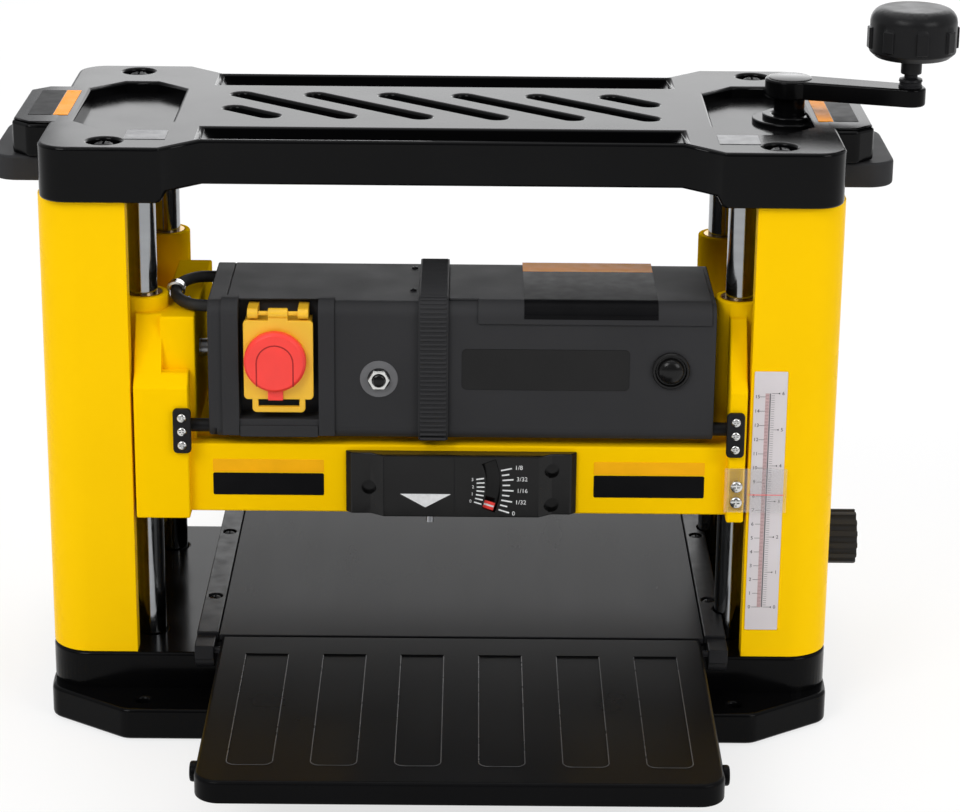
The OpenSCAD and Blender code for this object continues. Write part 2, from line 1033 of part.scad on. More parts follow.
// Lift
module screw_bushes() {
    color("#b08d57") {
        both_sides()
            difference() {
                union() {
                    rod_z(screw_x, 0, [base_h - 2 * deck_t, base_h], bush_d);
                    rod_z(screw_x, 0, [base_h, base_h + bush_flange_h], bush_flange_d);
                }
                rod_z(screw_x, 0, [0, plate_top], journal_end + 2 * run_gap);
            }
        top_bush(screw_x, plate_top - pocket_depth);
        top_bush(-screw_x, plate_top - pocket_depth - blind_t);
    }
}

module top_bush(x, top) {
    difference() {
        union() {
            rod_z(x, 0, [deck_z, top], bush_d);
            rod_z(x, 0, [deck_z - bush_flange_h, deck_z], bush_flange_d);
        }
        rod_z(x, 0, [0, plate_top], journal_end + 2 * run_gap);
    }
}

module racetrack(r) {
    square([screw_spacing, 2 * r], center = true);
    both_sides()
        translate([screw_x, 0])
            circle(r);
}

module lift_chain() {
    color("#4a4a4a")
        along_z([chain_low, chain_low + chain_h])
            difference() {
                racetrack(sprocket_d / 2 + chain_gap + chain_t);
                racetrack(sprocket_d / 2 + chain_gap);
            }
}

module sprocket() {
    along_z([chain_low, chain_low + chain_h])
        difference() {
            circle(d = sprocket_d);
            circle(d = journal_end);
            for (i = [0 : sprocket_n - 1])
                rotate(i * 360 / sprocket_n)
                    translate([sprocket_d / 2, 0])
                        circle(d = roller_pin_d);
        }
}

module lead_screw(top) {
    rod_z(0, 0, [chain_low - journal_low, top], journal_end);
    rod_z(0, 0, [base_h + bush_flange_h + pass_gap, deck_z - bush_flange_h - pass_gap], screw_d);
}

module right_lead_screw() {
    color("#9a9da1")
        translate([screw_x, 0, 0])
            lead_screw(crank_z + arm_t - crank_top_t);
}

module left_lead_screw() {
    color("#9a9da1")
        translate([-screw_x, 0, 0])
            lead_screw(plate_top - pocket_depth - blind_t - pass_gap);
}

module right_sprocket() {
    color("#5a5a5c")
        translate([screw_x, 0, 0])
            sprocket();
}

module left_sprocket() {
    color("#5a5a5c")
        translate([-screw_x, 0, 0])
            sprocket();
}

module at_crank() {
    translate([screw_x, 0, 0])
        rotate([0, 0, crank_turn])
            children();
}

module crank_arm() {
    color("#141414")
        at_crank()
            difference() {
                union() {
                    rod_z(0, 0, [plate_top - pocket_depth + pass_gap, crank_z + cut], neck_d);
                    along_z([crank_z, crank_z + arm_t]) {
                        circle(d = hub_d);
                        translate([crank_l, 0])
                            circle(d = arm_end_d);
                        polygon([[0, -arm_root_w / 2], [crank_l, -arm_end_d / 2], [crank_l, arm_end_d / 2],
                            [0, arm_root_w / 2]]);
                    }
                }
                rod_z(0, 0, [plate_top - pocket_depth, crank_z + arm_t - crank_top_t], journal_end);
                rod_z(crank_l, 0, [crank_z - cut, crank_z + arm_t + cut], spindle_d);
            }
}

module crank_spindle() {
    color("#3c3c3e")
        at_crank() {
            rod_z(crank_l, 0, [crank_z, knob_z + spindle_in_share * knob_h], spindle_d);
            rod_z(crank_l, 0, [crank_z + arm_t, crank_z + arm_t + spindle_foot_h], spindle_foot_d);
        }
}

// Half outline of the knob: neck, underside, rim and rounded top
module knob_outline() {
    r = knob_d / 2;
    e = knob_edge_share * knob_h;
    low = knob_low_share * knob_h;
    under = knob_under_share * knob_h;
    polygon(concat([[0, -knob_neck_h], [knob_neck_d / 2, -knob_neck_h], [knob_neck_d / 2, under],
        [knob_under_d / 2, under], [r, low]],
        [for (i = [0 : knob_steps]) [r - e + e * cos(i * 90 / knob_steps),
            knob_h - e + e * sin(i * 90 / knob_steps)]],
        [[0, knob_h]]));
}

module crank_knob() {
    color("#1b1b1d")
        at_crank()
            translate([crank_l, 0, knob_z])
                difference() {
                    union() {
                        rotate_extrude()
                            knob_outline();
                        for (i = [0 : land_n - 1])
                            rotate([0, 0, land_turn + i * 360 / land_n])
                                span([0, knob_d / 2 + land_h], [-land_w / 2, land_w / 2],
                                    [land_z_share * knob_h, (land_z_share + land_share) * knob_h]);
                    }
                    rod_z(0, 0, [-knob_neck_h - cut, spindle_in_share * knob_h + pass_gap],
                        spindle_d + 2 * run_gap);
                }
}

// Carriage
module side_block(x) {
    along_x(x)
        polygon([[block_y, cut_z], [block_y, block_top - block_bevel], [block_y + block_bevel, block_top],
            [block_y + block_depth, block_top], [block_y + block_depth, cut_z]]);
}

module side_web(x) {
    y = [block_y + block_bevel, -post_y];
    along_x(x)
        polygon([[y[0], body_z[0]], [y[0], block_top], [y[0] + web_slope_share * (y[1] - y[0]), case_z[1]],
            [y[1], case_z[1]], [y[1], body_z[0]]]);
}

module carriage_mass() {
    side_block([-block_x, left_in]);
    side_block([right_in, block_x]);
    side_web([-block_x, case_x[0] + cut]);
    side_web([right_in, block_x]);
    span([left_in - cut, right_in + cut], [beam_y, beam_y + beam_t], beam_z);
    span([left_wall[0], right_wall[1]], [beam_y + beam_t - cut, body_y], body_z);
    span([-block_x, block_x], [post_y - post_boss_d / 2, body_y], body_z);
    span(case_x, case_y, case_z);
    at_posts()
        rod_z(0, 0, boss_z, post_boss_d);
    span([-screw_x - lug_end, case_x[0] + cut], [-lug_w / 2, lug_w / 2], nut_z);
    span([right_wall[0], screw_x + lug_end], [-lug_w / 2, lug_w / 2], nut_z);
    span(right_wall, [-lug_w / 2, lug_w / 2], [body_z[1] - cut, nut_z[1]]);
}

// Tunnel over a roller or the cutterhead, open below
module tunnel(y, z, d) {
    x = [left_wall[1], right_wall[0]];
    rod_x(x, y, z, d);
    span(x, [y - d / 2, y + d / 2], [body_z[0] - cut, z]);
}

module carriage_casting() {
    color("#f0b000")
        difference() {
            carriage_mass();
            tunnel(0, head_z, cut_d + 2 * tunnel_gap);
            for (y = [-roller_y, roller_y])
                tunnel(y, roller_z, roller_d + 2 * roller_gap);
            span([head_x[0] + chip_inset, head_x[1] - chip_inset], chip_y, [head_z, body_z[1] + cut]);
            span([case_x[0] + case_wall, left_in], [case_y[0] + case_wall, case_y[1] - case_wall],
                [case_z[0] + case_floor, case_z[1] - case_wall]);
            for (w = [left_wall, right_wall]) {
                rod_x([w[0] - cut, w[1] + cut], 0, head_z, bearing_d);
                for (y = [-roller_y, roller_y])
                    rod_x([w[0] - cut, w[1] + cut], y, roller_z, block_d);
            }
            rod_x([left_in - cut, case_x[1] + cut], housing_y, housing_z, shaft_d + 2 * shaft_play);
            at_posts()
                rod_z(0, 0, [boss_z[0] - cut, boss_z[1] + cut], post_d + 2 * post_bush_t);
            both_sides()
                rod_z(screw_x, 0, [nut_z[0] - cut, nut_z[1] + cut], screw_d + 2 * nut_t);
            rod_x([left_in - rod_end, right_in + rod_end], rod_y0, rod_z0, rod_d);
        }
}

module carriage_bushes() {
    color("#b08d57") {
        at_posts()
            for (z = [boss_z[0], boss_z[1] - bush_l])
                difference() {
                    rod_z(0, 0, [z, z + bush_l], post_d + 2 * post_bush_t);
                    rod_z(0, 0, [z - cut, z + bush_l + cut], post_d + 2 * run_gap);
                }
        both_sides()
            difference() {
                union() {
                    rod_z(screw_x, 0, nut_z, screw_d + 2 * nut_t);
                    rod_z(screw_x, 0, [nut_z[0] - nut_flange_h, nut_z[0]], screw_d + 2 * nut_flange_t);
                }
                rod_z(screw_x, 0, [nut_z[0] - nut_flange_h - cut, nut_z[1] + cut], screw_d + 2 * run_gap);
            }
    }
}

// Motor housing
module housing_outline(inset) {
    translate([housing_y, housing_z])
        rounded(housing_d - 2 * inset, housing_h - 2 * inset, housing_r - inset);
}

module housing_tube(x) {
    difference() {
        union() {
            along_x(x)
                difference() {
                    housing_outline(0);
                    housing_outline(housing_t);
                }
            rod_x(x, rod_y0, rod_z0, rod_d + 2 * rod_boss_t);
        }
        rod_x([x[0] - cut, x[1] + cut], rod_y0, rod_z0, rod_d);
    }
}

module motor_housing_left() {
    color("#2c2c2e")
        difference() {
            union() {
                housing_tube([cap_x[1], split_x]);
                span([well_x[0] - housing_t, well_x[1] + housing_t],
                    [housing_front + housing_t - cut, housing_front + well_d + housing_t],
                    [well_z[0] - housing_t, housing_top - housing_t + cut]);
            }
            span(well_x, [housing_front - cut, housing_front + well_d], well_z);
            along_x(well_x)
                polygon([[housing_front - cut, well_z[1] - cut], [housing_front + well_d, well_z[1] - cut],
                    [housing_front + well_runout, housing_top + cut],
                        [housing_front - cut, housing_top + cut]]);
            rod_x([cap_x[1] - cut, split_x + cut], rod_y0, rod_z0, rod_d);
            rod_y(overload_x, [housing_front - cut, housing_front + housing_t + cut], overload_z,
                overload_d + 2 * overload_play);
        }
}

module motor_housing_right() {
    end = housing_x[1] - housing_t;
    color("#2c2c2e")
        difference() {
            union() {
                housing_tube([split_x, housing_x[1]]);
                along_x([end, housing_x[1]])
                    housing_outline(0);
                rod_x([end - motor_bearing_l, housing_x[1]], housing_y, housing_z,
                    motor_bearing_d + 2 * bearing_boss_t);
            }
            rod_x([end - motor_bearing_l - cut, end], housing_y, housing_z, motor_bearing_d);
            rod_x([split_x - cut, housing_x[1] + cut], rod_y0, rod_z0, rod_d);
            rod_y(brush_x, [housing_front - cut, housing_front + housing_t + cut], brush_z,
                brush_shank_share * brush_d);
        }
}

module motor_cover() {
    x = [collar_x[1], housing_x[1] - cover_margin];
    color("#333335")
        difference() {
            along_x(x)
                difference() {
                    housing_outline(-cover_t);
                    housing_outline(0);
                }
            span([x[0] - cut, x[1] + cut],
                [housing_front - housing_d, housing_front + housing_d + cover_rear],
                [body_z[0], housing_top - cover_low]);
            span([x[0] - cut, x[1] + cut], [housing_front + housing_d - cover_rear,
                housing_front + 2 * housing_d],
                [body_z[0], housing_top + collar_rise]);
            span([x[0] - cut, x[0] + cover_tongue], [housing_front - housing_d, housing_front + housing_r],
                [body_z[0], housing_top + collar_rise]);
        }
}

module housing_collar() {
    color("#262628")
        difference() {
            along_x(collar_x)
                difference() {
                    housing_outline(-collar_rise);
                    housing_outline(0);
                }
            span([collar_x[0] - cut, collar_x[1] + cut],
                [housing_front - housing_d, housing_front + 2 * housing_d],
                [body_z[0], body_z[1]]);
            rod_x([collar_x[0] - cut, collar_x[1] + cut], rod_y0, rod_z0,
                rod_d + 2 * rod_boss_t + 2 * pass_gap);
        }
}

module belt_cover() {
    inner = cap_x[0] + end_cap_t;
    color("#262628")
        difference() {
            union() {
                difference() {
                    along_x(cap_x)
                        housing_outline(0);
                    along_x([inner, cap_x[1] + cut])
                        housing_outline(housing_t);
                }
                rod_x([inner - cut, cap_x[1]], rod_y0, rod_z0, rod_d + 2 * rod_boss_t);
                rod_x([inner - cut, cap_x[1] - cut], housing_y, housing_z,
                    motor_bearing_d + 2 * bearing_boss_t);
            }
            rod_x([cap_x[1] - cut - motor_bearing_l, cap_x[1] + cut], housing_y, housing_z,
                motor_bearing_d);
            rod_x([cap_x[0] - cut, cap_x[1]], housing_y, housing_z, shaft_d + 2 * shaft_play);
            rod_x([cap_x[0] - cut, cap_x[1] + cut], rod_y0, rod_z0, rod_d);
        }
}

module brush_cap() {
    color("#121212") {
        rod_y(brush_x, [housing_front, housing_front + brush_l], brush_z, brush_shank_share * brush_d);
        rod_y(brush_x, [housing_front - brush_flange, housing_front], brush_z, brush_d);
        translate([brush_x, housing_front - brush_flange, brush_z])
            rotate([90, 0, 0])
                cylinder(h = brush_dome, d1 = brush_d, d2 = brush_dome_share * brush_d);
    }
}

// Switch
module switch_frame() {
    color("#d9a520")
        difference() {
            union() {
                span(frame_x, [flap_y + flap_gap, housing_front + well_d], frame_z);
                for (s = [-1, 1])
                    translate([switch_x + s * lug_place_share * switch_w, 0, 0]) {
                        span([-lug_t / 2, lug_t / 2], [knuckle_y, housing_front + well_d],
                            [knuckle_z - knuckle_d / 2, knuckle_z + knuckle_d / 2]);
                        rod_x([-lug_t / 2, lug_t / 2], knuckle_y, knuckle_z, knuckle_d);
                        span([-lug_t / 2, lug_t / 2],
                            [housing_front + well_d - lug_back, housing_front + well_d],
                            [knuckle_z - lug_low, knuckle_z]);
                    }
                rod_x([switch_x - lug_place_share * switch_w, switch_x + lug_place_share * switch_w],
                    knuckle_y,
                    knuckle_z, switch_pin_d);
            }
            span([button_x[0] - button_gap, button_x[1] + button_gap],
                [flap_y, housing_front + well_d + cut],
                [button_z[0] - button_gap, button_z[1] + button_gap]);
        }
}

module switch_cover() {
    low = switch_z - switch_h / 2;
    color("#ebbe3c")
        difference() {
            union() {
                along_y([flap_y - flap_t, flap_y]) {
                    translate([switch_x, switch_z])
                        rounded(switch_w, switch_h, flap_r);
                    difference() {
                        translate([switch_x, low])
                            rounded(loop_w, 2 * loop_h, flap_r);
                        translate([switch_x, low])
                            square([loop_w - 2 * loop_bar, 2 * (loop_h - loop_bar)], center = true);
                    }
                }
                span([switch_x - knuckle_w / 2, switch_x + knuckle_w / 2], [flap_y - flap_t, flap_y],
                    [switch_z + switch_h / 2 - cut, knuckle_z]);
                rod_x([switch_x - knuckle_w / 2, switch_x + knuckle_w / 2], knuckle_y, knuckle_z,
                    knuckle_d);
            }
            rod_x([switch_x - switch_w, switch_x + switch_w], knuckle_y, knuckle_z,
                switch_pin_d + 2 * run_gap);
        }
}

module stop_paddle() {
    face = flap_y - flap_t;
    color("#e23c3c") {
        rod_y(switch_x - paddle_shift, [face - paddle_h + paddle_edge, face], switch_z, paddle_d);
        translate([switch_x - paddle_shift, face - paddle_h + paddle_edge, switch_z])
            rotate([90, 0, 0])
                cylinder(h = paddle_edge, d1 = paddle_d, d2 = paddle_d - 2 * paddle_edge);
        span([switch_x - paddle_shift - paddle_tab_w / 2, switch_x - paddle_shift + paddle_tab_w / 2],
            [face - paddle_edge, face],
            [switch_z - paddle_d / 2 - paddle_tab_h, switch_z - paddle_d / 2 + paddle_tab_h]);
    }
}

module start_button() {
    color("#2f9e44")
        span(button_x, [flap_y + flap_gap + button_sink, flap_y + flap_gap + button_sink + button_l],
            button_z);
}

// Overload reset
module overload_bezel() {
    color("#b9bcc0")
        difference() {
            rod_y(overload_x, [housing_front - overload_nut_h, housing_front], overload_z,
                overload_nut_d, $fn = 6);
            rod_y(overload_x, [housing_front - overload_nut_h - cut, housing_front + cut], overload_z,
                overload_d + 2 * overload_play);
        }
}

module overload_button() {
    color("#e8e8e8")
        rod_y(overload_x, [housing_front - overload_out, housing_front + overload_in], overload_z,
            overload_d);
}

// Hinge rod of the motor
module hinge_rod() {
    color("#8d9094")
        rod_x([left_in - rod_end, right_in + rod_end], rod_y0, rod_z0, rod_d);
}

module rod_clips() {
    color("#1d1d1f")
        for (x = clip_x)
            along_y([block_y - clip_t, block_y])
                translate([x, rod_z0])
                    rounded(clip_w, clip_h, clip_r);
}

module carriage_screws() {
    color("#2a2a2c") {
        for (x = clip_x, i = [-1 : 1])
            rod_y(x, [block_y - clip_t - clip_screw_h, block_y - clip_t], rod_z0 + i * clip_screw_pitch,
                clip_screw_d);
        for (share = pointer_screws_share)
            rod_y((pointer_x[0] + column_in) / 2, [block_y - pointer_t - clip_screw_h, block_y - pointer_t],
                pointer_z + share * pointer_h, clip_screw_d);
    }
}

// Cut gauge
module gauge_plan() {
    x = [gauge_x - gauge_w / 2, gauge_x + gauge_w / 2];
    m = [gauge_x - gauge_mid_w / 2, gauge_x + gauge_mid_w / 2];
    low = gauge_y + gauge_drop;
    polygon([[x[0], beam_y], [x[0], low + gauge_end], [x[0] + gauge_end, low], [m[0] - gauge_slope, low],
        [m[0], gauge_y], [m[1], gauge_y], [m[1] + gauge_slope, low], [x[1] - gauge_end, low],
        [x[1], low + gauge_end], [x[1], beam_y]]);
}

module gauge_window() {
    r = needle_l + needle_w / 2;
    translate([pivot_x, pivot_z])
        intersection() {
            difference() {
                circle(r);
                circle(r - window_w);
            }
            polygon([[0, 0], [2 * r, -2 * r * tan(window_half_angle)],
                [2 * r, 2 * r * tan(window_half_angle)]]);
        }
}

module gauge_housing() {
    color("#1b1b1d") {
        difference() {
            along_z(gauge_z)
                gauge_plan();
            span([pivot_x - needle_hub_d, pivot_x + needle_l + needle_w], gauge_room_y,
                [gauge_z[0] + gauge_margin, gauge_z[1] - gauge_margin]);
            along_y([gauge_y - cut, gauge_room_y[0] + cut])
                gauge_window();
            rod_z(plunger_x, plunger_y, [gauge_z[0] - cut, pivot_z], plunger_d + 2 * run_gap);
        }
        rod_y(pivot_x, [gauge_room_y[0] - gauge_skin, gauge_room_y[1] + gauge_skin], pivot_z, pivot_d);
    }
}

module gauge_plunger() {
    color("#9b9ea2")
        rod_z(plunger_x, plunger_y, [cut_z, pivot_z - plunger_top], plunger_d);
}

module gauge_needle() {
    y = gauge_room_y[0] + gauge_skin;
    color("#e03030")
        along_y([y, y + needle_t])
            translate([pivot_x, pivot_z])
                rotate(-needle_rest)
                    difference() {
                        union() {
                            circle(d = needle_hub_d);
                            translate([0, -needle_w / 2])
                                square([needle_l, needle_w]);
                        }
                        circle(d = pivot_d + 2 * run_gap);
                    }
}

module pointer_window() {
    color("#d8dce0")
        span(pointer_x, [block_y - pointer_t, block_y], [pointer_z, pointer_z + pointer_h]);
}

// Chip hood over the chip slot
module hood_outline(inset) {
    y = [hood_y[0] + inset, hood_y[1] - inset];
    top = body_z[1] + hood_h - inset;
    polygon([[y[0], body_z[1]], [y[0], top - hood_slope], [y[0] + hood_slope, top],
        [y[1], top], [y[1], body_z[1]]]);
}

module chip_hood() {
    z = body_z[1] + port_rise;
    color("#2a2a2c")
        difference() {
            union() {
                along_x(hood_x)
                    hood_outline(0);
                rod_y(port_x, [hood_y[1] - hood_t, hood_y[1] + port_l], z, port_d);
            }
            difference() {
                along_x([hood_x[0] + hood_t, hood_x[1] - hood_t])
                    hood_outline(hood_t);
                span(hood_x, [chip_y[1] + hood_t, hood_y[1]], [body_z[1] - cut, body_z[1] + hood_t]);
            }
            rod_y(port_x, [hood_y[1] - 2 * hood_t, hood_y[1] + port_l + cut], z,
                port_d - 2 * port_t);
        }
}

// Motor lead: rings of points about the route, joined to a tube
function along(i) = let (n = len(lead_route) - 1)
    lead_route[min(i + 1, n)] - lead_route[max(i - 1, 0)];
function unit(v) = v / norm(v);
function lead_ring(i) = let (t = unit(along(i)), side = unit(cross(t, [0, 0, 1])), up = cross(side, t))
    [for (k = [0 : lead_sides - 1])
        lead_route[i] + lead_d / 2 * (cos(k * 360 / lead_sides) * side + sin(k * 360 / lead_sides) * up)];

module motor_lead() {
    n = len(lead_route);
    s = lead_sides;
    color("#202022")
        polyhedron(
            points = [for (i = [0 : n - 1]) each lead_ring(i)],
            faces = concat(
                [[for (k = [0 : s - 1]) k]],
                [for (i = [0 : n - 2], k = [0 : s - 1])
                    [i * s + k, (i + 1) * s + k, (i + 1) * s + (k + 1) % s, i * s + (k + 1) % s]],
                [[for (k = [s - 1 : -1 : 0]) (n - 1) * s + k]]));
}

module lead_clamp() {
    p = lead_route[clamp_i];
    y = [p[1] - clamp_l / 2, p[1] + clamp_l / 2];
    color("#a8abae")
        difference() {
            union() {
                rod_y(p[0], y, p[2], lead_d + 2 * clamp_t + 2 * clamp_play);
                span([p[0], p[0] + clamp_foot], y, [case_z[1], case_z[1] + clamp_t]);
                span([p[0] - clamp_t, p[0] + clamp_t], y, [case_z[1], p[2]]);
            }
            rod_y(p[0], [y[0] - cut, y[1] + cut], p[2], lead_d + 2 * clamp_play);
        }
}

// Motor and cutterhead insides
module bearing(x, y, z, od, id) {
    difference() {
        rod_x(x, y, z, od);
        rod_x([x[0] - cut, x[1] + cut], y, z, id + 2 * run_gap);
    }
}

module ball_bearings() {
    end = housing_x[1] - housing_t;
    color("#c4c7ca") {
        bearing([left_wall[0] + bearing_inset, left_wall[0] + bearing_inset + bearing_l], 0, head_z,
            bearing_d, journal_d);
        bearing([right_wall[1] - bearing_inset - bearing_l, right_wall[1] - bearing_inset], 0, head_z,
            bearing_d,
            journal_d);
        bearing([cap_x[1] - cut - motor_bearing_l, cap_x[1] - cut], housing_y, housing_z,
            motor_bearing_d, shaft_d);
        bearing([end - motor_bearing_l, end], housing_y, housing_z, motor_bearing_d, shaft_d);
    }
}

module field_stator() {
    color("#8a5a2b")
        bearing([stator_x - stator_l / 2, stator_x + stator_l / 2], housing_y, housing_z, stator_d,
            core_d + 2 * air_gap);
}

module belt_run(gap) {
    hull() {
        translate([0, head_z])
            circle(head_pulley_d / 2 + gap);
        translate([housing_y, housing_z])
            circle(motor_pulley_d / 2 + gap);
    }
}

module drive_belt() {
    color("#1a1a1a")
        along_x(belt_x)
            difference() {
                belt_run(belt_clear + belt_t);
                belt_run(belt_clear);
            }
}

module roller_blocks() {
    color("#b08d57")
        for (w = [left_wall, right_wall], y = [-roller_y, roller_y])
            bearing(w, y, roller_z, block_d, roller_shaft_d);
}

module feed_gearbox() {
    x = [right_wall[1], right_wall[1] + gearbox_w];
    h = body_h - 2 * gearbox_trim;
    color("#3b3b3d")
        difference() {
            along_x(x)
                translate([0, (body_z[0] + body_z[1]) / 2])
                    rounded(2 * gearbox_y, h, gearbox_r);
            rod_x([x[0] - cut, x[1] - gearbox_wall], 0, head_z, journal_d + 2 * pass_gap);
            for (y = [-roller_y, roller_y])
                rod_x([x[0] - cut, x[1] - gearbox_wall], y, roller_z, roller_shaft_d + 2 * pass_gap);
        }
}

// Box cut or filled beside each knife, turned about the cutterhead axis
module at_knives() {
    for (i = [0 : knife_n - 1])
        translate([0, 0, head_z])
            rotate([head_turn + i * 360 / knife_n, 0, 0])
                children();
}

module cutterhead() {
    color("#a5a9ad")
        difference() {
            union() {
                rod_x(head_x, 0, head_z, head_d);
                rod_x([belt_x[0], shaft_end], 0, head_z, journal_d);
            }
            at_knives()
                span([head_x[0] - cut, head_x[1] + cut], [-clamp_w, knife_t],
                    [head_d / 2 - knife_depth, cut_d]);
        }
}

module knives() {
    r = head_d / 2;
    color("#d5d8db")
        at_knives()
            along_x(head_x)
                polygon([[0, r - knife_depth], [knife_t, r - knife_depth], [knife_t, r], [0, cut_d / 2]]);
}

module knife_clamps() {
    color("#6c7074")
        at_knives()
            span(head_x, [-clamp_w, 0], [head_d / 2 - knife_depth, head_d / 2 - clamp_sink]);
}

module pulley(x, y, z, d, bore) {
    difference() {
        rod_x(x, y, z, d);
        rod_x([x[0] - cut, x[1] + cut], y, z, bore);
    }
}

module head_pulley() {
    color("#777a7e")
        pulley(belt_x, 0, head_z, head_pulley_d, journal_d);
}

module motor_pulley() {
    color("#777a7e")
        pulley(belt_x, housing_y, housing_z, motor_pulley_d, shaft_d);
}

module armature() {
    core = [stator_x - stator_l / 2, stator_x + stator_l / 2];
    color("#7a4a22") {
        rod_x([belt_x[0], housing_x[1] - housing_t - cut], housing_y, housing_z, shaft_d);
        rod_x(core, housing_y, housing_z, core_d);
        rod_x([core[1], core[1] + commutator_l], housing_y, housing_z, commutator_d);
        rod_x([fan_x, fan_x + fan_disc_t], housing_y, housing_z, fan_d);
        rod_x([fan_x, fan_x + fan_l], housing_y, housing_z, fan_hub_d);
        for (i = [0 : fan_n - 1])
            translate([0, housing_y, housing_z])
                rotate([i * 360 / fan_n, 0, 0])
                    span([fan_x, fan_x + fan_l], [-fan_blade_t / 2, fan_blade_t / 2],
                        [fan_hub_d / 2 - cut, fan_d / 2]);
    }
}

module feed_roller(y) {
    rod_x([left_wall[1] + roller_end, right_wall[0] - roller_end], y, roller_z, roller_d);
    rod_x([left_wall[0], shaft_end], y, roller_z, roller_shaft_d);
}

module infeed_roller() {
    color("#2b2b2b")
        feed_roller(-roller_y);
}

module outfeed_roller() {
    color("#2b2b2b")
        feed_roller(roller_y);
}

// Depth stop
module depth_stop() {
    x = [half_w + pass_gap, half_w + pass_gap + stop_knob_l];
    turret_end = half_w - column_t - stop_boss_l - pass_gap;
    color("#242426")
        difference() {
            union() {
                rod_x(x, stop_y, stop_z, stop_knob_d);
                rod_x([turret_end - turret_l, x[1]], stop_y, stop_z, stop_shaft_d);
                rod_x([turret_end - turret_l, turret_end], stop_y, stop_z, turret_d);
            }
            for (i = [0 : flute_n - 1])
                translate([0, stop_y, stop_z])
                    rotate([i * 360 / flute_n, 0, 0])
                        rod_x([x[0] + stop_collar, x[1] + cut], 0, stop_knob_d / 2, flute_d);
        }
}

// Folding tables
module table_outline(inset) {
    rotate(-90)
        capped([table_rear - inset, table_front - inset], table_half - inset, table_corner_r - inset);
}

module strip_outline() {
    rotate(-90)
        capped([0, strip_l], strip_w / 2, strip_r);
}

module table() {
    low = bed_z - table_lip;
    translate([bed_shift, 0, 0])
        difference() {
            union() {
                along_z([low, bed_z])
                    table_outline(0);
                both_sides()
                    rod_x([table_half - cut, table_half + table_bolt_h], table_bolt_inset - table_front,
                        bed_z - table_lip / 2, table_bolt_d);
            }
            along_z([low - cut, bed_z - table_t])
                table_outline(table_t);
            for (i = [0 : strip_n - 1])
                translate([(i - (strip_n - 1) / 2) * strip_pitch, strip_front + strip_l - table_front,
                    bed_z - strip_depth])
                    linear_extrude(strip_depth + cut)
                        strip_outline();
            rod_x([-table_half - cut, table_half + cut], -hinge_y, hinge_z, hinge_pin_d + 2 * run_gap);
        }
}

module infeed_table() {
    color("#17171a")
        table();
}

module outfeed_table() {
    color("#17171a")
        mirror([0, 1, 0])
            table();
}

base_casting();
bed_plate();
bed_rails();
frame_screws();
hinge_brackets();
left_column_cover();
right_column_cover();
guide_posts();
top_plate();
carry_grips();
thickness_scale();
screw_bushes();
lift_chain();
crank_arm();
crank_spindle();
crank_knob();
right_lead_screw();
right_sprocket();
left_lead_screw();
left_sprocket();
carriage_casting();
carriage_bushes();
motor_housing_left();
motor_housing_right();
motor_cover();
housing_collar();
belt_cover();
brush_cap();
switch_frame();
overload_bezel();
hinge_rod();
rod_clips();
gauge_housing();
pointer_window();
chip_hood();
motor_lead();
lead_clamp();
ball_bearings();
field_stator();
drive_belt();
roller_blocks();
feed_gearbox();
carriage_screws();
cutterhead();
knives();
knife_clamps();
head_pulley();
armature();
motor_pulley();
infeed_roller();
outfeed_roller();
switch_cover();
stop_paddle();
start_button();
overload_button();
gauge_plunger();
gauge_needle();
depth_stop();
infeed_table();
outfeed_table();
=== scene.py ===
"""Finish, marks and stage of a benchtop thickness planer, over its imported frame."""

import json
import math

import bmesh
import bpy
from mathutils import Matrix, Vector
from mathutils.geometry import delaunay_2d_cdt


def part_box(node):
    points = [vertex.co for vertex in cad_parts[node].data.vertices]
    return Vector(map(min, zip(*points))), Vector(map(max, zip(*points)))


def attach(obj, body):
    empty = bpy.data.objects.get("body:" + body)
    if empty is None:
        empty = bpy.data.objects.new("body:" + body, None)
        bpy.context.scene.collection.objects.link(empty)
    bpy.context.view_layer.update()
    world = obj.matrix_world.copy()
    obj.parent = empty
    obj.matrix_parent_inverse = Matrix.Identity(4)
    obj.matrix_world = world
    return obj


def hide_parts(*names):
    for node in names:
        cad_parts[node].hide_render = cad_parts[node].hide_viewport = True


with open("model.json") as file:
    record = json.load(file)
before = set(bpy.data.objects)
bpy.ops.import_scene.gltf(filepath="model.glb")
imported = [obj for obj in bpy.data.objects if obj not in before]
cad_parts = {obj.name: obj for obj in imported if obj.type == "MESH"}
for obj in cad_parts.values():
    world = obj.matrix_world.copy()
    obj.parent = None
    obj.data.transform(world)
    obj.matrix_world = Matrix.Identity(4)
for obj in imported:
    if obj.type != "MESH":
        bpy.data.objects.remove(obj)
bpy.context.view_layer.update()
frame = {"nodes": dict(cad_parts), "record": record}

bl_info = {
    "name": "Benchtop thickness planer",
    "version": (1, 0, 0),
    "blender": (4, 5, 0),
    "location": "View3D > Sidebar > Planer",
    "description": "Builds the finished pieces of a benchtop thickness planer",
    "category": "Object",
}

MM = 0.001
INCH = 25.4 * MM
TO_FRONT = (0, -1, 0)
UP = (0, 0, 1)
BODY_OF = {node: body for body, nodes in frame["record"]["behaviour"]["bodies"].items() for node in nodes}
SLOT_OF = {part["node"]: part["material_slot"] for part in frame["record"]["subparts"]}


def colour_prop(label, words, value):
    """A colour that the user can change."""
    return bpy.props.FloatVectorProperty(
        name=label, description=words, default=value, subtype="COLOR", size=3, min=0.0, max=1.0)


def length_prop(label, words, value):
    """A length in metres that the user can change."""
    return bpy.props.FloatProperty(name=label, description=words, default=value, unit="LENGTH", min=0.0)


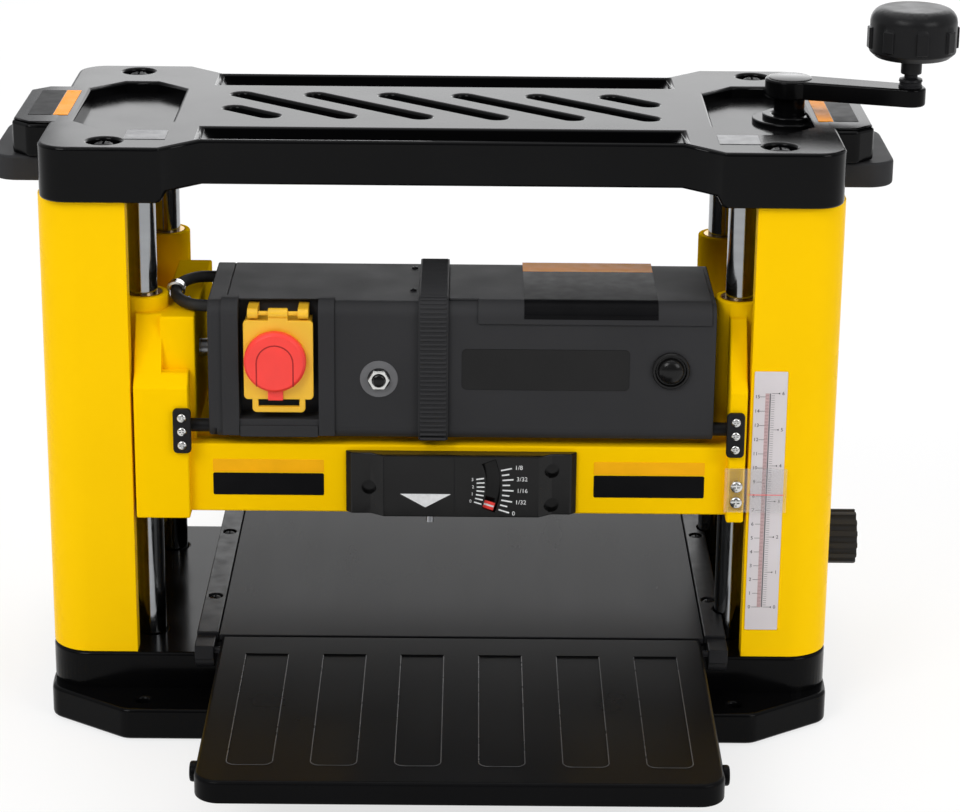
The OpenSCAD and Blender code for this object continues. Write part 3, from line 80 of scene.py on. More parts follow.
class PlanerColours(bpy.types.PropertyGroup):
    """Colours of the planer's finishes."""

    paint_yellow: colour_prop("Paint", "Yellow of the columns and the carriage", (0.98, 0.585, 0.001))
    paint_black: colour_prop("Black paint", "Gloss black of base and top plate", (0.0022, 0.0022, 0.0024))
    table_black: colour_prop("Table black", "Satin black of the folding tables", (0.0035, 0.0035, 0.0038))
    housing_grey: colour_prop("Housing", "Dark grey of the moulded motor housing", (0.032, 0.032, 0.0335))
    bed_grey: colour_prop("Bed", "Dark grey of the bed plate", (0.014, 0.014, 0.015))
    switch_yellow: colour_prop("Switch", "Yellow of the switch cover", (0.86, 0.49, 0.025))
    stop_red: colour_prop("Stop", "Red of the stop paddle", (0.95, 0.05, 0.038))
    scale_grey: colour_prop("Scale", "Pale grey of the printed scale", (0.65, 0.605, 0.615))
    plate_orange: colour_prop("Strip", "Orange of the bare strips", (0.85, 0.29, 0.008))


class PlanerSizes(bpy.types.PropertyGroup):
    """Sizes of the planer's edges, ribs and marks."""

    plate_edge: length_prop("Top plate edge", "Radius on the edges of the top plate", 2.4 * MM)
    base_edge: length_prop("Base edge", "Radius on the edges of the base", 2.6 * MM)
    casting_edge: length_prop("Casting edge", "Radius on the edges of the carriage", 1.4 * MM)
    moulding_edge: length_prop("Moulding edge", "Radius on the edges of moulded parts", 1.1 * MM)
    sheet_edge: length_prop("Sheet edge", "Radius on the edges of bent sheet", 0.6 * MM)
    rib_pitch: length_prop("Rib pitch", "Distance between the ribs of the collar", 3.1 * MM)
    tick: length_prop("Tick", "Width of a fine mark on the scale", 0.18 * MM)
    ink: length_prop("Ink", "Height of printed marks over their plate", 0.08 * MM)
    lead_d: length_prop("Lead", "Diameter of the motor lead", 8.0 * MM)


def sizes():
    return bpy.context.scene.planer_sizes


def colours():
    return bpy.context.scene.planer_colours


# Finishes. The columns are colour, roughness and its spread, metal, specular, mottle of the colour, scale
# of the clouds, then strength, scale and depth in millimetres of the grain. A colour is three channels or
# the name of a colour in PlanerColours.

FINISHES = {
    "yellow_paint": ("paint_yellow", 0.28, 0.05, 0.0, 0.02, 0.03, 5.0, 0.08, 420.0, 0.12),
    "matt_yellow_paint": ("paint_yellow", 0.4, 0.05, 0.0, 0.0, 0.03, 5.0, 0.08, 420.0, 0.12),
    "gloss_black_paint": ("paint_black", 0.16, 0.05, 0.0, 0.07, 0.25, 9.0, 0.05, 380.0, 0.1),
    "top_plate_black": ("paint_black", 0.15, 0.04, 0.0, 0.1, 0.25, 9.0, 0.05, 380.0, 0.1),
    "satin_black_table": ("table_black", 0.3, 0.03, 0.0, 0.04, 0.2, 6.0, 0.05, 520.0, 0.1),
    "moulded_dark_grey": ("housing_grey", 0.52, 0.05, 0.0, 0.07, 0.07, 12.0, 0.3, 1500.0, 0.06),
    "gloss_moulded_black": ((0.007, 0.0068, 0.0068), 0.16, 0.05, 0.0, 0.2, 0.2, 20.0, 0.06, 600.0, 0.08),
    "blackened_steel": ((0.01, 0.01, 0.011), 0.36, 0.08, 0.0, 0.12, 0.25, 40.0, 0.2, 900.0, 0.05),
    "dark_bed_steel": ("bed_grey", 0.25, 0.03, 0.0, 0.035, 0.12, 6.0, 0.05, 1400.0, 0.05),
    # Ground steel is darker here than polished steel is: a painted dark reflection for the guide posts and
    # knives.
    "ground_bright_steel": ((0.3, 0.31, 0.32), 0.14, 0.05, 1.0, 0.5, 0.06, 18.0, 0.08, 1600.0, 0.03),
    "turned_steel": ((0.42, 0.43, 0.45), 0.3, 0.08, 1.0, 0.5, 0.12, 30.0, 0.2, 700.0, 0.04),
    "bearing_bronze": ((0.52, 0.33, 0.13), 0.32, 0.08, 1.0, 0.5, 0.14, 60.0, 0.15, 1200.0, 0.05),
    "zinc_screw_steel": ((0.66, 0.66, 0.64), 0.24, 0.08, 1.0, 0.5, 0.1, 150.0, 0.12, 2500.0, 0.05),
    "switch_yellow_plastic": ("switch_yellow", 0.36, 0.06, 0.0, 0.4, 0.05, 30.0, 0.14, 1800.0, 0.05),
    "signal_red_plastic": ("stop_red", 0.34, 0.06, 0.0, 0.4, 0.06, 40.0, 0.12, 1800.0, 0.05),
    "start_green_plastic": ((0.02, 0.3, 0.07), 0.34, 0.06, 0.0, 0.5, 0.06, 40.0, 0.1, 1800.0, 0.05),
    "knob_black": ((0.008, 0.008, 0.0085), 0.34, 0.06, 0.0, 0.14, 0.15, 30.0, 0.25, 1500.0, 0.05),
    # The strip beads are lighter than the table black: a painted highlight on the rounded edges of the
    # strips.
    "rubbed_black": ((0.05, 0.05, 0.052), 0.3, 0.06, 0.0, 0.3, 0.3, 30.0, 0.1, 900.0, 0.05),
    "feed_rubber": ((0.016, 0.016, 0.016), 0.62, 0.1, 0.0, 0.3, 0.25, 50.0, 0.4, 1300.0, 0.05),
    "varnished_windings": ((0.32, 0.13, 0.045), 0.4, 0.1, 0.6, 0.5, 0.3, 80.0, 0.3, 900.0, 0.05),
    "scale_plate_grey": ("scale_grey", 0.42, 0.06, 0.0, 0.5, 0.04, 24.0, 0.08, 2200.0, 0.05),
    "bare_strip_orange": ("plate_orange", 0.42, 0.06, 0.0, 0.08, 0.06, 60.0, 0.08, 2600.0, 0.05),
    "bare_header_amber": ((0.93, 0.44, 0.004), 0.42, 0.06, 0.0, 0.08, 0.05, 60.0, 0.08, 2600.0, 0.05),
    "bare_plate_black": ((0.0045, 0.0045, 0.005), 0.4, 0.04, 0.0, 0.05, 0.15, 50.0, 0.06, 2600.0, 0.05),
    "bare_plate_grey": ((0.11, 0.11, 0.115), 0.36, 0.06, 0.0, 0.5, 0.08, 60.0, 0.06, 2600.0, 0.05),
    "clear_plastic": ((0.55, 0.55, 0.56), 0.08, 0.03, 0.0, 0.5, 0.03, 60.0, 0.0, 900.0, 0.05),
}
# The deep red mark is painted shade in the groove of the stop paddle; the other inks are print.
for ink_name, ink_colour in (("deep_red", (0.36, 0.012, 0.012)), ("white", (0.78, 0.78, 0.78)),
                             ("black", (0.02, 0.02, 0.02)), ("grey", (0.16, 0.15, 0.155)),
                             ("pink", (0.62, 0.42, 0.42))):
    FINISHES["ink_" + ink_name] = (ink_colour, 0.5, 0.06, 0.0, 0.3, 0.08, 300.0, 0.1, 4000.0, 0.05)
STRETCH = {"dark_bed_steel": (3.0, 0.6, 1.0), "ground_bright_steel": (1.0, 1.0, 8.0),
           "turned_steel": (12.0, 1.0, 1.0), "varnished_windings": (10.0, 1.0, 1.0)}
ALPHA = {"clear_plastic": 0.14}

CLOUD_DETAIL, PATCH_DETAIL, GRAIN_DETAIL = 5.0, 4.0, 2.0
PATCH_SCALE = 2.3
LEAST_ROUGH = 0.02


def new_node(tree, kind, **values):
    """A node with its options and inputs set by name."""
    node = tree.nodes.new(kind)
    for key, value in values.items():
        if hasattr(node, key):
            setattr(node, key, value)
        else:
            node.inputs[key.replace("_", " ")].default_value = value
    return node


def link(tree, *wires):
    """Joins sockets, each wire given as node, output, node, input."""
    for start, out, end, into in wires:
        tree.links.new(start.outputs[out], end.inputs[into])


def noise(tree, across, scale, detail):
    """Noise over a mapped place."""
    node = new_node(tree, "ShaderNodeTexNoise", Scale=scale, Detail=detail)
    link(tree, (across, "Vector", node, "Vector"))
    return node.outputs["Fac"]


def ranged(tree, value, low, high, start=0.3, end=0.7):
    """A value spread from the range start to end over the range low to high."""
    node = new_node(tree, "ShaderNodeMapRange", From_Min=start, From_Max=end, To_Min=low, To_Max=high)
    tree.links.new(value, node.inputs["Value"])
    return node.outputs["Result"]


def mixed(tree, amount, first, second):
    """A colour between two, by an amount."""
    node = new_node(tree, "ShaderNodeMix", data_type="RGBA")
    tree.links.new(amount, node.inputs[0])
    node.inputs[6].default_value = (*first, 1.0)
    node.inputs[7].default_value = (*second, 1.0)
    return node.outputs[2]


def tinted(colour, factor):
    """A lighter or darker colour."""
    return tuple(min(1.0, channel * factor) for channel in colour)


def finish(name):
    """The finish of that name, mixed on its first use."""
    return bpy.data.materials.get("finish_" + name) or mix_finish(name, *FINISHES[name])


def mix_finish(name, colour, rough, spread, metal, specular, mottle, cloud, grain, fine, depth):
    """Makes a finish with clouded colour, uneven gloss and a fine grain in the surface."""
    if isinstance(colour, str):
        colour = getattr(colours(), colour)
    material = bpy.data.materials.new("finish_" + name)
    material.use_nodes = True
    tree = material.node_tree
    shader = tree.nodes["Principled BSDF"]
    for socket, value in (("Metallic", metal), ("Specular IOR Level", specular),
                          ("Alpha", ALPHA.get(name, 1.0))):
        shader.inputs[socket].default_value = value
    across = new_node(tree, "ShaderNodeMapping", Scale=STRETCH.get(name, (1.0, 1.0, 1.0)))
    link(tree, (new_node(tree, "ShaderNodeTexCoord"), "Object", across, "Vector"))
    clouds = ranged(tree, noise(tree, across, cloud, CLOUD_DETAIL), 0.0, 1.0)
    paint = mixed(tree, clouds, tinted(colour, 1.0 - mottle), tinted(colour, 1.0 + mottle))
    tree.links.new(paint, shader.inputs["Base Color"])
    patches = noise(tree, across, cloud * PATCH_SCALE, PATCH_DETAIL)
    gloss = ranged(tree, patches, max(LEAST_ROUGH, rough - spread), rough + spread)
    tree.links.new(gloss, shader.inputs["Roughness"])
    if grain:
        bump = new_node(tree, "ShaderNodeBump", Strength=grain, Distance=depth * MM)
        tree.links.new(noise(tree, across, fine, GRAIN_DETAIL), bump.inputs["Height"])
        link(tree, (bump, "Normal", shader, "Normal"))
    return material


# Objects and meshes


def extent(node):
    """Low corner, high corner and middle of a CAD node."""
    low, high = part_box(node)
    return low, high, (low + high) / 2


def new_object(name, data):
    obj = bpy.data.objects.new(name, data)
    bpy.context.scene.collection.objects.link(obj)
    return obj


def from_bmesh(name, bm):
    mesh = bpy.data.meshes.new(name)
    bm.to_mesh(mesh)
    bm.free()
    return new_object(name, mesh)


def final_mesh(obj):
    """The mesh of an object after its modifiers or its curve settings."""
    bpy.context.view_layer.update()
    graph = bpy.context.evaluated_depsgraph_get()
    return bpy.data.meshes.new_from_object(obj.evaluated_get(graph), depsgraph=graph)


def settle(obj):
    """Turns an object with modifiers into a plain mesh."""
    mesh = final_mesh(obj)
    old = obj.data
    obj.modifiers.clear()
    obj.data = mesh
    bpy.data.meshes.remove(old)
    mesh.name = obj.name
    return obj


def curve_mesh(curve):
    """Turns a curve into a plain mesh."""
    temp = new_object(curve.name, curve)
    mesh = final_mesh(temp)
    bpy.data.objects.remove(temp)
    bpy.data.curves.remove(curve)
    return mesh


def seat(obj, body, look, slot, *nodes):
    """Gives a finished piece its finish and its body, and hides the CAD nodes that it stands for. The slot is
    not used.
    """
    obj.data.materials.clear()
    obj.data.materials.append(finish(look))
    if nodes:
        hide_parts(*nodes)
    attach(obj, body)


def carried(look, *nodes):
    """Keeps CAD nodes as they are, in a better finish."""
    for node in nodes:
        for place in frame["nodes"][node].material_slots:
            place.material = finish(look)


def smooth(obj, angle):
    """Smooth shading with sharp edges over an angle in degrees."""
    obj.data.shade_smooth()
    obj.data.set_sharp_from_angle(angle=math.radians(angle))
    return obj


def add_cut(obj, cutter, own_overlaps=False):
    """Cuts another object out of this one when it is settled."""
    cut = obj.modifiers.new("cut", "BOOLEAN")
    cut.object = cutter
    cut.operation = "DIFFERENCE"
    cut.solver = "EXACT"
    cut.use_self = own_overlaps


# CAD nodes with rounded edges. Angles are in degrees, and limits between directions are cosines.

DOUBLE_GAP = 0.004 * MM
JOIN_ANGLE = 0.5
CORNER_ANGLE = 28.0
SHARP_ANGLE = 40.0
ROOM_SHARE = 0.42
ALONG_EDGE = 0.7
SAME_RUN = 0.8
NARROW_WEDGE = 0.86
SAME_FLAT = 0.9999
SAME_SHADE = 0.99995
FLAT_GAP = 2e-6
CROSSED_AREA, CROSSED_SHARE = 4e-7, 0.002
FILL_GAP = 1e-8
LEAST_TILT = 0.2


def merged_copy(node):
    """The CAD node's shape with its doubles merged and its flat faces joined."""
    bm = bmesh.new()
    bm.from_mesh(frame["nodes"][node].data)
    bmesh.ops.remove_doubles(bm, verts=bm.verts, dist=DOUBLE_GAP)
    bmesh.ops.dissolve_limit(bm, angle_limit=math.radians(JOIN_ANGLE), use_dissolve_boundaries=False,
                             verts=bm.verts, edges=bm.edges, delimit=set())
    bmesh.ops.recalc_face_normals(bm, faces=bm.faces)
    return bm


def leaving(edge, vert):
    """The way in which an edge leaves one of its ends."""
    return (edge.other_vert(vert).co - vert.co).normalized()


def edge_room(edge, corners):
    """Shortest side along which the radius of an edge can run."""
    room = 1.0
    for face in edge.link_faces:
        for vert in edge.verts:
            along = leaving(edge, vert)
            for other in vert.link_edges:
                if other is edge or face not in other.link_faces:
                    continue
                if other not in corners or abs(leaving(other, vert).dot(along)) <= ALONG_EDGE:
                    room = min(room, other.calc_length())
    return room


def wedged(edge, corners):
    """True where another corner edge leaves an end of this one at a narrow angle."""
    return any(leaving(other, vert).dot(leaving(edge, vert)) > NARROW_WEDGE
               for vert in edge.verts for other in vert.link_edges if other is not edge and other in corners)


def edge_runs(sharp):
    """Groups sharp edges that follow each other without a corner."""
    left = set(sharp)
    while left:
        run = [left.pop()]
        for e in run:
            for vert in e.verts:
                for other in vert.link_edges:
                    if other in left and abs(leaving(other, vert).dot(leaving(e, vert))) > SAME_RUN:
                        left.remove(other)
                        run.append(other)
        yield run


def region_of(first, belongs):
    """The faces that belong with a first one and join it over edges."""
    region, known = [first], {first}
    for face in region:
        for e in face.edges:
            for other in e.link_faces:
                if other not in known and belongs(other):
                    known.add(other)
                    region.append(other)
    return region


def crossed_faces(bm):
    """Flat faces whose outline crosses itself."""
    areas = {}
    for tri in bm.calc_loop_triangles():
        a, b, c = [loop.vert.co for loop in tri]
        turn = (b - a).cross(c - a)
        sums = areas.setdefault(tri[0].face, [0.0, 0.0])
        sums[0] += turn.length
        sums[1] += turn.dot(tri[0].face.normal)
    return [face for face, (whole, signed) in areas.items()
            if whole - signed > CROSSED_AREA + CROSSED_SHARE * whole]


def fill_rim(bm, rim, spot, normal):
    """Fills the flat region inside closed rims, and leaves the holes in it open."""
    flat = facing(spot, normal)
    back = flat.inverted()
    verts = sorted(dict.fromkeys(v for e in rim for v in e.verts), key=lambda v: tuple(v.co))
    number = {v: i for i, v in enumerate(verts)}
    spots = [(back @ v.co).to_2d() for v in verts]
    pairs = sorted(tuple(sorted((number[e.verts[0]], number[e.verts[1]]))) for e in rim)
    points, _, faces, sources, _, _ = delaunay_2d_cdt(spots, pairs, [], 1, FILL_GAP)
    lines = [(spots[a], spots[b]) for a, b in pairs]
    corners = {i: verts[source[0]] for i, source in enumerate(sources) if source}
    for face in faces:
        mid = sum((points[i] for i in face), Vector((0.0, 0.0))) / len(face)
        hits = sum(1 for a, b in lines if (a.y > mid.y) != (b.y > mid.y)
                   and mid.x < a.x + (mid.y - a.y) * (b.x - a.x) / (b.y - a.y))
        if hits % 2 == 0:
            continue
        for i in face:
            if i not in corners:
                corners[i] = bm.verts.new(flat @ points[i].to_3d())
        ring = [corners[i] for i in face]
        if len(set(ring)) == 3 and not bm.faces.get(ring):
            part = bm.faces.new(ring)
            part.smooth = True
            part.normal_update()
            if part.normal.dot(normal) < 0.0:
                part.normal_flip()


def refill_flats(bm):
    """Fills again the flat regions that hold a crossed face."""
    bm.normal_update()
    for first in crossed_faces(bm):
        if not first.is_valid or len(first.verts) < 5:
            continue
        normal = first.normal.copy()
        spot = first.verts[0].co.copy()
        region = region_of(first, lambda other: other.normal.dot(normal) > SAME_FLAT and all(
            abs((v.co - spot).dot(normal)) < FLAT_GAP for v in other.verts))
        known = set(region)
        edges = dict.fromkeys(e for face in region for e in face.edges)
        rim = [e for e in edges if len(e.link_faces) == 1 or any(face not in known for face in e.link_faces)]
        inner = [e for e in edges if e not in rim]
        bmesh.ops.delete(bm, geom=region, context="FACES_ONLY")
        bmesh.ops.delete(bm, geom=[e for e in inner if e.is_valid], context="EDGES")
        fill_rim(bm, rim, spot, normal)
    bmesh.ops.holes_fill(bm, edges=[e for e in bm.edges if len(e.link_faces) == 1], sides=0)


def flat_areas(bm):
    """Area of the flat region that each face belongs to."""
    areas = {}
    for first in bm.faces:
        if first not in areas:
            region = region_of(first, lambda other: other not in areas
                               and other.normal.dot(first.normal) > SAME_SHADE)
            areas.update(dict.fromkeys(region, sum(face.calc_area() for face in region)))
    return areas


def even_normals(mesh):
    """Turns the shading at each corner to the broadest flat that it belongs to."""
    bm = bmesh.new()
    bm.from_mesh(mesh)
    bm.normal_update()
    areas = flat_areas(bm)
    ways = {}
    for vert in bm.verts:
        left = list(vert.link_faces)
        while left:
            fan = [left.pop()]
            for face in fan:
                for e in vert.link_edges:
                    if e.smooth and face in e.link_faces:
                        for other in e.link_faces:
                            if other in left:
                                left.remove(other)
                                fan.append(other)
            way = sum((face.normal * areas[face] ** 2 for face in fan), Vector()).normalized()
            for face in fan:
                ways[face, vert] = way if way.dot(face.normal) > LEAST_TILT else face.normal
    mesh.normals_split_custom_set([ways[face, loop.vert] for face in bm.faces for loop in face.loops])
    bm.free()


def dressed(node, look, edge, segments=3, cutters=()):
    """Replaces a CAD node by the same shape with rounded edges."""
    bm = merged_copy(node)
    weights = bm.edges.layers.float.new("bevel_weight_edge")
    limit = math.radians(CORNER_ANGLE)
    corners = {e for e in bm.edges if len(e.link_faces) == 2 and e.calc_face_angle(0.0) > limit}
    sharp = {e for e in corners if e.is_convex and not wedged(e, corners)}
    for run in edge_runs(sharp):
        room = min(edge_room(e, corners) for e in run)
        for e in run:
            e[weights] = min(1.0, ROOM_SHARE * room / edge)
    obj = from_bmesh(node + "_finished", bm)
    obj.data.shade_smooth()
    for cutter in cutters:
        add_cut(obj, cutter)
    bevel = obj.modifiers.new("edge", "BEVEL")
    bevel.width = edge
    bevel.segments = segments
    bevel.limit_method = "WEIGHT"
    bevel.use_clamp_overlap = False
    bevel.loop_slide = False
    settle(obj)
    for cutter in cutters:
        bpy.data.objects.remove(cutter)
    bm = bmesh.new()
    bm.from_mesh(obj.data)
    refill_flats(bm)
    bm.to_mesh(obj.data)
    bm.free()
    obj.data.set_sharp_from_angle(angle=math.radians(SHARP_ANGLE))
    even_normals(obj.data)
    seat(obj, BODY_OF[node], look, SLOT_OF[node], node)


# Turned and flat pieces

THIN_EDGE = 0.12 * MM
PLATE_CORNER_ANGLE = 50.0
CORNER_STEPS = 6
HOUSING_RADIUS = 9.0 * MM


def span(start, low, high):
    """A stretch from low to high millimetres past a start."""
    return start + low * MM, start + high * MM


def stations(start, *pairs):
    """Profile points from (radius, height) pairs in millimetres past a start."""
    return [(radius * MM, start + height * MM) for radius, height in pairs]


def dome(radius, foot, rise, step):
    """Profile points of a dome without its tip, at steps in degrees."""
    turns = [math.radians(angle) for angle in range(0, 90, step)]
    return [(radius * math.cos(t), foot + rise * math.sin(t)) for t in turns]


def facing(spot, way):
    """Matrix whose Z points along way and whose origin is spot."""
    z = Vector(way).normalized()
    x = Vector((1.0, 0.0, 0.0)) if abs(z.x) < 0.9 else Vector((0.0, 1.0, 0.0))
    y = z.cross(x).normalized()
    x = y.cross(z)
    matrix = Matrix((x, y, z)).transposed().to_4x4()
    matrix.translation = Vector(spot)
    return matrix


def lathe(name, profile, matrix, steps):
    """Turns a profile of (radius, height) pairs about local Z."""
    bm = bmesh.new()
    turns = [2.0 * math.pi * k / steps for k in range(steps)]
    rings = []
    for radius, height in profile:
        around = turns if radius > 1e-7 else [0.0]
        rings.append([bm.verts.new(matrix @ Vector((radius * math.cos(t), radius * math.sin(t), height)))
                      for t in around])
    for low, high in zip(rings, rings[1:]):
        for k in range(steps):
            n = (k + 1) % steps
            if len(low) == 1 and len(high) > 1:
                bm.faces.new((low[0], high[n], high[k]))
            elif len(high) == 1 and len(low) > 1:
                bm.faces.new((low[k], low[n], high[0]))
            elif len(low) > 1:
                bm.faces.new((low[k], low[n], high[n], high[k]))
    bmesh.ops.recalc_face_normals(bm, faces=bm.faces)
    return from_bmesh(name, bm)


def turned(name, profile, matrix, steps=48):
    """A smooth turned piece."""
    return smooth(lathe(name, profile, matrix, steps), 32.0)


def prism(bm, near, far):
    """Closes two equal outlines into a solid."""
    faces = [bm.faces.new(near), bm.faces.new(far[::-1])]
    for k in range(len(near)):
        n = (k + 1) % len(near)
        faces.append(bm.faces.new((near[n], near[k], far[k], far[n])))
    bmesh.ops.recalc_face_normals(bm, faces=faces)


def slab(bm, spans, radius, axis):
    """Adds a plate over a span per axis, with round corners seen along one axis."""
    flat = [i for i in range(3) if i != axis]
    size = [spans[i][1] - spans[i][0] for i in flat]
    radius = min(radius, 0.49 * min(size))
    corners = []
    for quarter, signs in enumerate(((1, 1), (-1, 1), (-1, -1), (1, -1))):
        mid = [sum(spans[i]) / 2 + sign * (wide / 2 - radius) for i, wide, sign in zip(flat, size, signs)]
        for k in range(CORNER_STEPS + 1 if radius else 1):
            t = math.radians(90 * quarter + 90 / CORNER_STEPS * k)
            corners.append((mid[0] + radius * math.cos(t), mid[1] + radius * math.sin(t)))
    rows = []
    for level in spans[axis]:
        spots = [[level] * 3 for _ in corners]
        for spot, corner in zip(spots, corners):
            spot[flat[0]], spot[flat[1]] = corner
        rows.append([bm.verts.new(spot) for spot in spots])
    prism(bm, *rows)


def softened(name, bm, edge):
    """A thin plate with rounded edges."""
    obj = from_bmesh(name, bm)
    bevel = obj.modifiers.new("edge", "BEVEL")
    bevel.width = edge
    bevel.segments = 2
    bevel.limit_method = "ANGLE"
    bevel.angle_limit = math.radians(PLATE_CORNER_ANGLE)
    obj.data.shade_smooth()
    normals = obj.modifiers.new("normals", "WEIGHTED_NORMAL")
    normals.mode = "FACE_AREA"
    return settle(obj)


def plate(name, spans, radius, axis=1, edge=THIN_EDGE):
    """A thin bare plate with round corners and a soft edge."""
    bm = bmesh.new()
    slab(bm, spans, radius * MM, axis)
    return softened(name, bm, edge)


def capped(name, points, low, high, edge):
    """A flat cap with a soft edge over an outline of (x, y) points."""
    bm = bmesh.new()
    prism(bm, *[[bm.verts.new((x, y, z)) for x, y in points] for z in (low, high)])
    return softened(name, bm, edge)


def wrapped(name, profile, x_span, thick):
    """A thin strip that follows a profile in Y and Z along a span of X."""
    bm = bmesh.new()
    rows = [[bm.verts.new((x, y, z)) for x in x_span] for y, z in profile]
    for a, b in zip(rows, rows[1:]):
        bm.faces.new((a[0], a[1], b[1], b[0]))
    obj = from_bmesh(name, bm)
    wall = obj.modifiers.new("wall", "SOLIDIFY")
    wall.thickness = thick
    wall.offset = 0.0
    return smooth(settle(obj), 40.0)


def housing_profile(grow, low_z, rear_y, step=7.5):
    """Points up the housing's front, over its edge and back along its top."""
    low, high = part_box("motor_housing_right")
    mid_y, mid_z = low.y + HOUSING_RADIUS, high.z - HOUSING_RADIUS
    reach = HOUSING_RADIUS + grow
    points = [(low.y - grow, low_z)]
    for k in range(int(90 / step) + 1):
        t = math.radians(180 - k * step)
        points.append((mid_y + reach * math.cos(t), mid_z + reach * math.sin(t)))
    points.append((rear_y, high.z + grow))
    return points


# Geometry node trees


def tree_with(name, *inputs):
    """A node tree with geometry, named inputs and a finish that go in, and geometry that comes out."""
    tree = bpy.data.node_groups.new(name, "GeometryNodeTree")
    for label, kind in (("Geometry", "Geometry"), *inputs, ("Finish", "Material")):
        tree.interface.new_socket(label, in_out="INPUT", socket_type="NodeSocket" + kind)
    tree.interface.new_socket("Geometry", in_out="OUTPUT", socket_type="NodeSocketGeometry")
    return tree, new_node(tree, "NodeGroupInput")


def ending(tree, source, last, out):
    """Realizes what the last node gives and sets its finish."""
    real = new_node(tree, "GeometryNodeRealizeInstances")
    paint = new_node(tree, "GeometryNodeSetMaterial")
    output = new_node(tree, "NodeGroupOutput")
    link(tree, (last, out, real, "Geometry"), (real, "Geometry", paint, "Geometry"),
         (source, "Finish", paint, "Material"), (paint, "Geometry", output, "Geometry"))
    return tree


def row_tree():
    """Flat bars in a straight row."""
    tree, source = tree_with(
        "row_tree", ("Count", "Int"), ("Start", "Vector"), ("Step", "Vector"), ("Bar", "Vector"))
    line = new_node(tree, "GeometryNodeMeshLine", mode="OFFSET")
    bar = new_node(tree, "GeometryNodeMeshCube")
    spread = new_node(tree, "GeometryNodeInstanceOnPoints")
    link(tree, (source, "Count", line, "Count"), (source, "Start", line, "Start Location"),
         (source, "Step", line, "Offset"), (source, "Bar", bar, "Size"),
         (line, "Mesh", spread, "Points"), (bar, "Mesh", spread, "Instance"))
    return ending(tree, source, spread, "Instances")


def rib_tree():
    """Round bars along X at even steps of a path."""
    tree, source = tree_with("rib_tree", ("Pitch", "Float"), ("Radius", "Float"), ("Length", "Float"))
    path = new_node(tree, "GeometryNodeMeshToCurve")
    even = new_node(tree, "GeometryNodeResampleCurve", mode="LENGTH")
    bar = new_node(tree, "GeometryNodeMeshCylinder", Vertices=10)
    lay = new_node(tree, "GeometryNodeTransform", Rotation=(0.0, math.pi / 2, 0.0))
    spread = new_node(tree, "GeometryNodeInstanceOnPoints")
    link(tree, (source, "Geometry", path, "Mesh"), (path, "Curve", even, "Curve"),
         (source, "Pitch", even, "Length"), (source, "Radius", bar, "Radius"),
         (source, "Length", bar, "Depth"), (bar, "Mesh", lay, "Geometry"),
         (even, "Curve", spread, "Points"), (lay, "Geometry", spread, "Instance"))
    return ending(tree, source, spread, "Instances")


def screw_tree():
    """A template on every point, turned to the point's way."""
    tree, source = tree_with("screw_tree", ("Template", "Object"))
    info = new_node(tree, "GeometryNodeObjectInfo")
    way = new_node(tree, "GeometryNodeInputNamedAttribute", data_type="FLOAT_VECTOR", Name="way")
    big = new_node(tree, "GeometryNodeInputNamedAttribute", data_type="FLOAT", Name="big")
    turn = new_node(tree, "FunctionNodeAlignRotationToVector", axis="Z")
    spread = new_node(tree, "GeometryNodeInstanceOnPoints")
    link(tree, (source, "Template", info, "Object"), (source, "Geometry", spread, "Points"),
         (info, "Geometry", spread, "Instance"), (way, "Attribute", turn, "Vector"),
         (turn, "Rotation", spread, "Rotation"), (big, "Attribute", spread, "Scale"))
    return ending(tree, source, spread, "Instances")


def bead_tree():
    """A round bead along each path."""
    tree, source = tree_with("bead_tree", ("Radius", "Float"))
    path = new_node(tree, "GeometryNodeMeshToCurve")
    round_bar = new_node(tree, "GeometryNodeCurvePrimitiveCircle", Resolution=8)
    sweep = new_node(tree, "GeometryNodeCurveToMesh", Fill_Caps=True)
    link(tree, (source, "Geometry", path, "Mesh"), (source, "Radius", round_bar, "Radius"),
         (path, "Curve", sweep, "Curve"), (round_bar, "Curve", sweep, "Profile Curve"))
    return ending(tree, source, sweep, "Mesh")


def grown(name, build, mesh, **inputs):
    """Runs a tree on a mesh and keeps the result as a plain mesh."""
    tree = bpy.data.node_groups.get(build.__name__) or build()
    obj = new_object(name, mesh)
    made = obj.modifiers.new("made", "NODES")
    made.node_group = tree
    sockets = {item.name: item.identifier for item in tree.interface.items_tree
               if item.item_type == "SOCKET" and item.in_out == "INPUT"}
    for label, value in inputs.items():
        made[sockets[label]] = value
    return settle(obj)


def path_mesh(name, *lines):
    """A mesh of open lines through points."""
    verts, edges = [], []
    for line in lines:
        edges += [(len(verts) + k, len(verts) + k + 1) for k in range(len(line) - 1)]
        verts += line
    mesh = bpy.data.meshes.new(name)
    mesh.from_pydata(verts, edges, [])
    return mesh


# Print


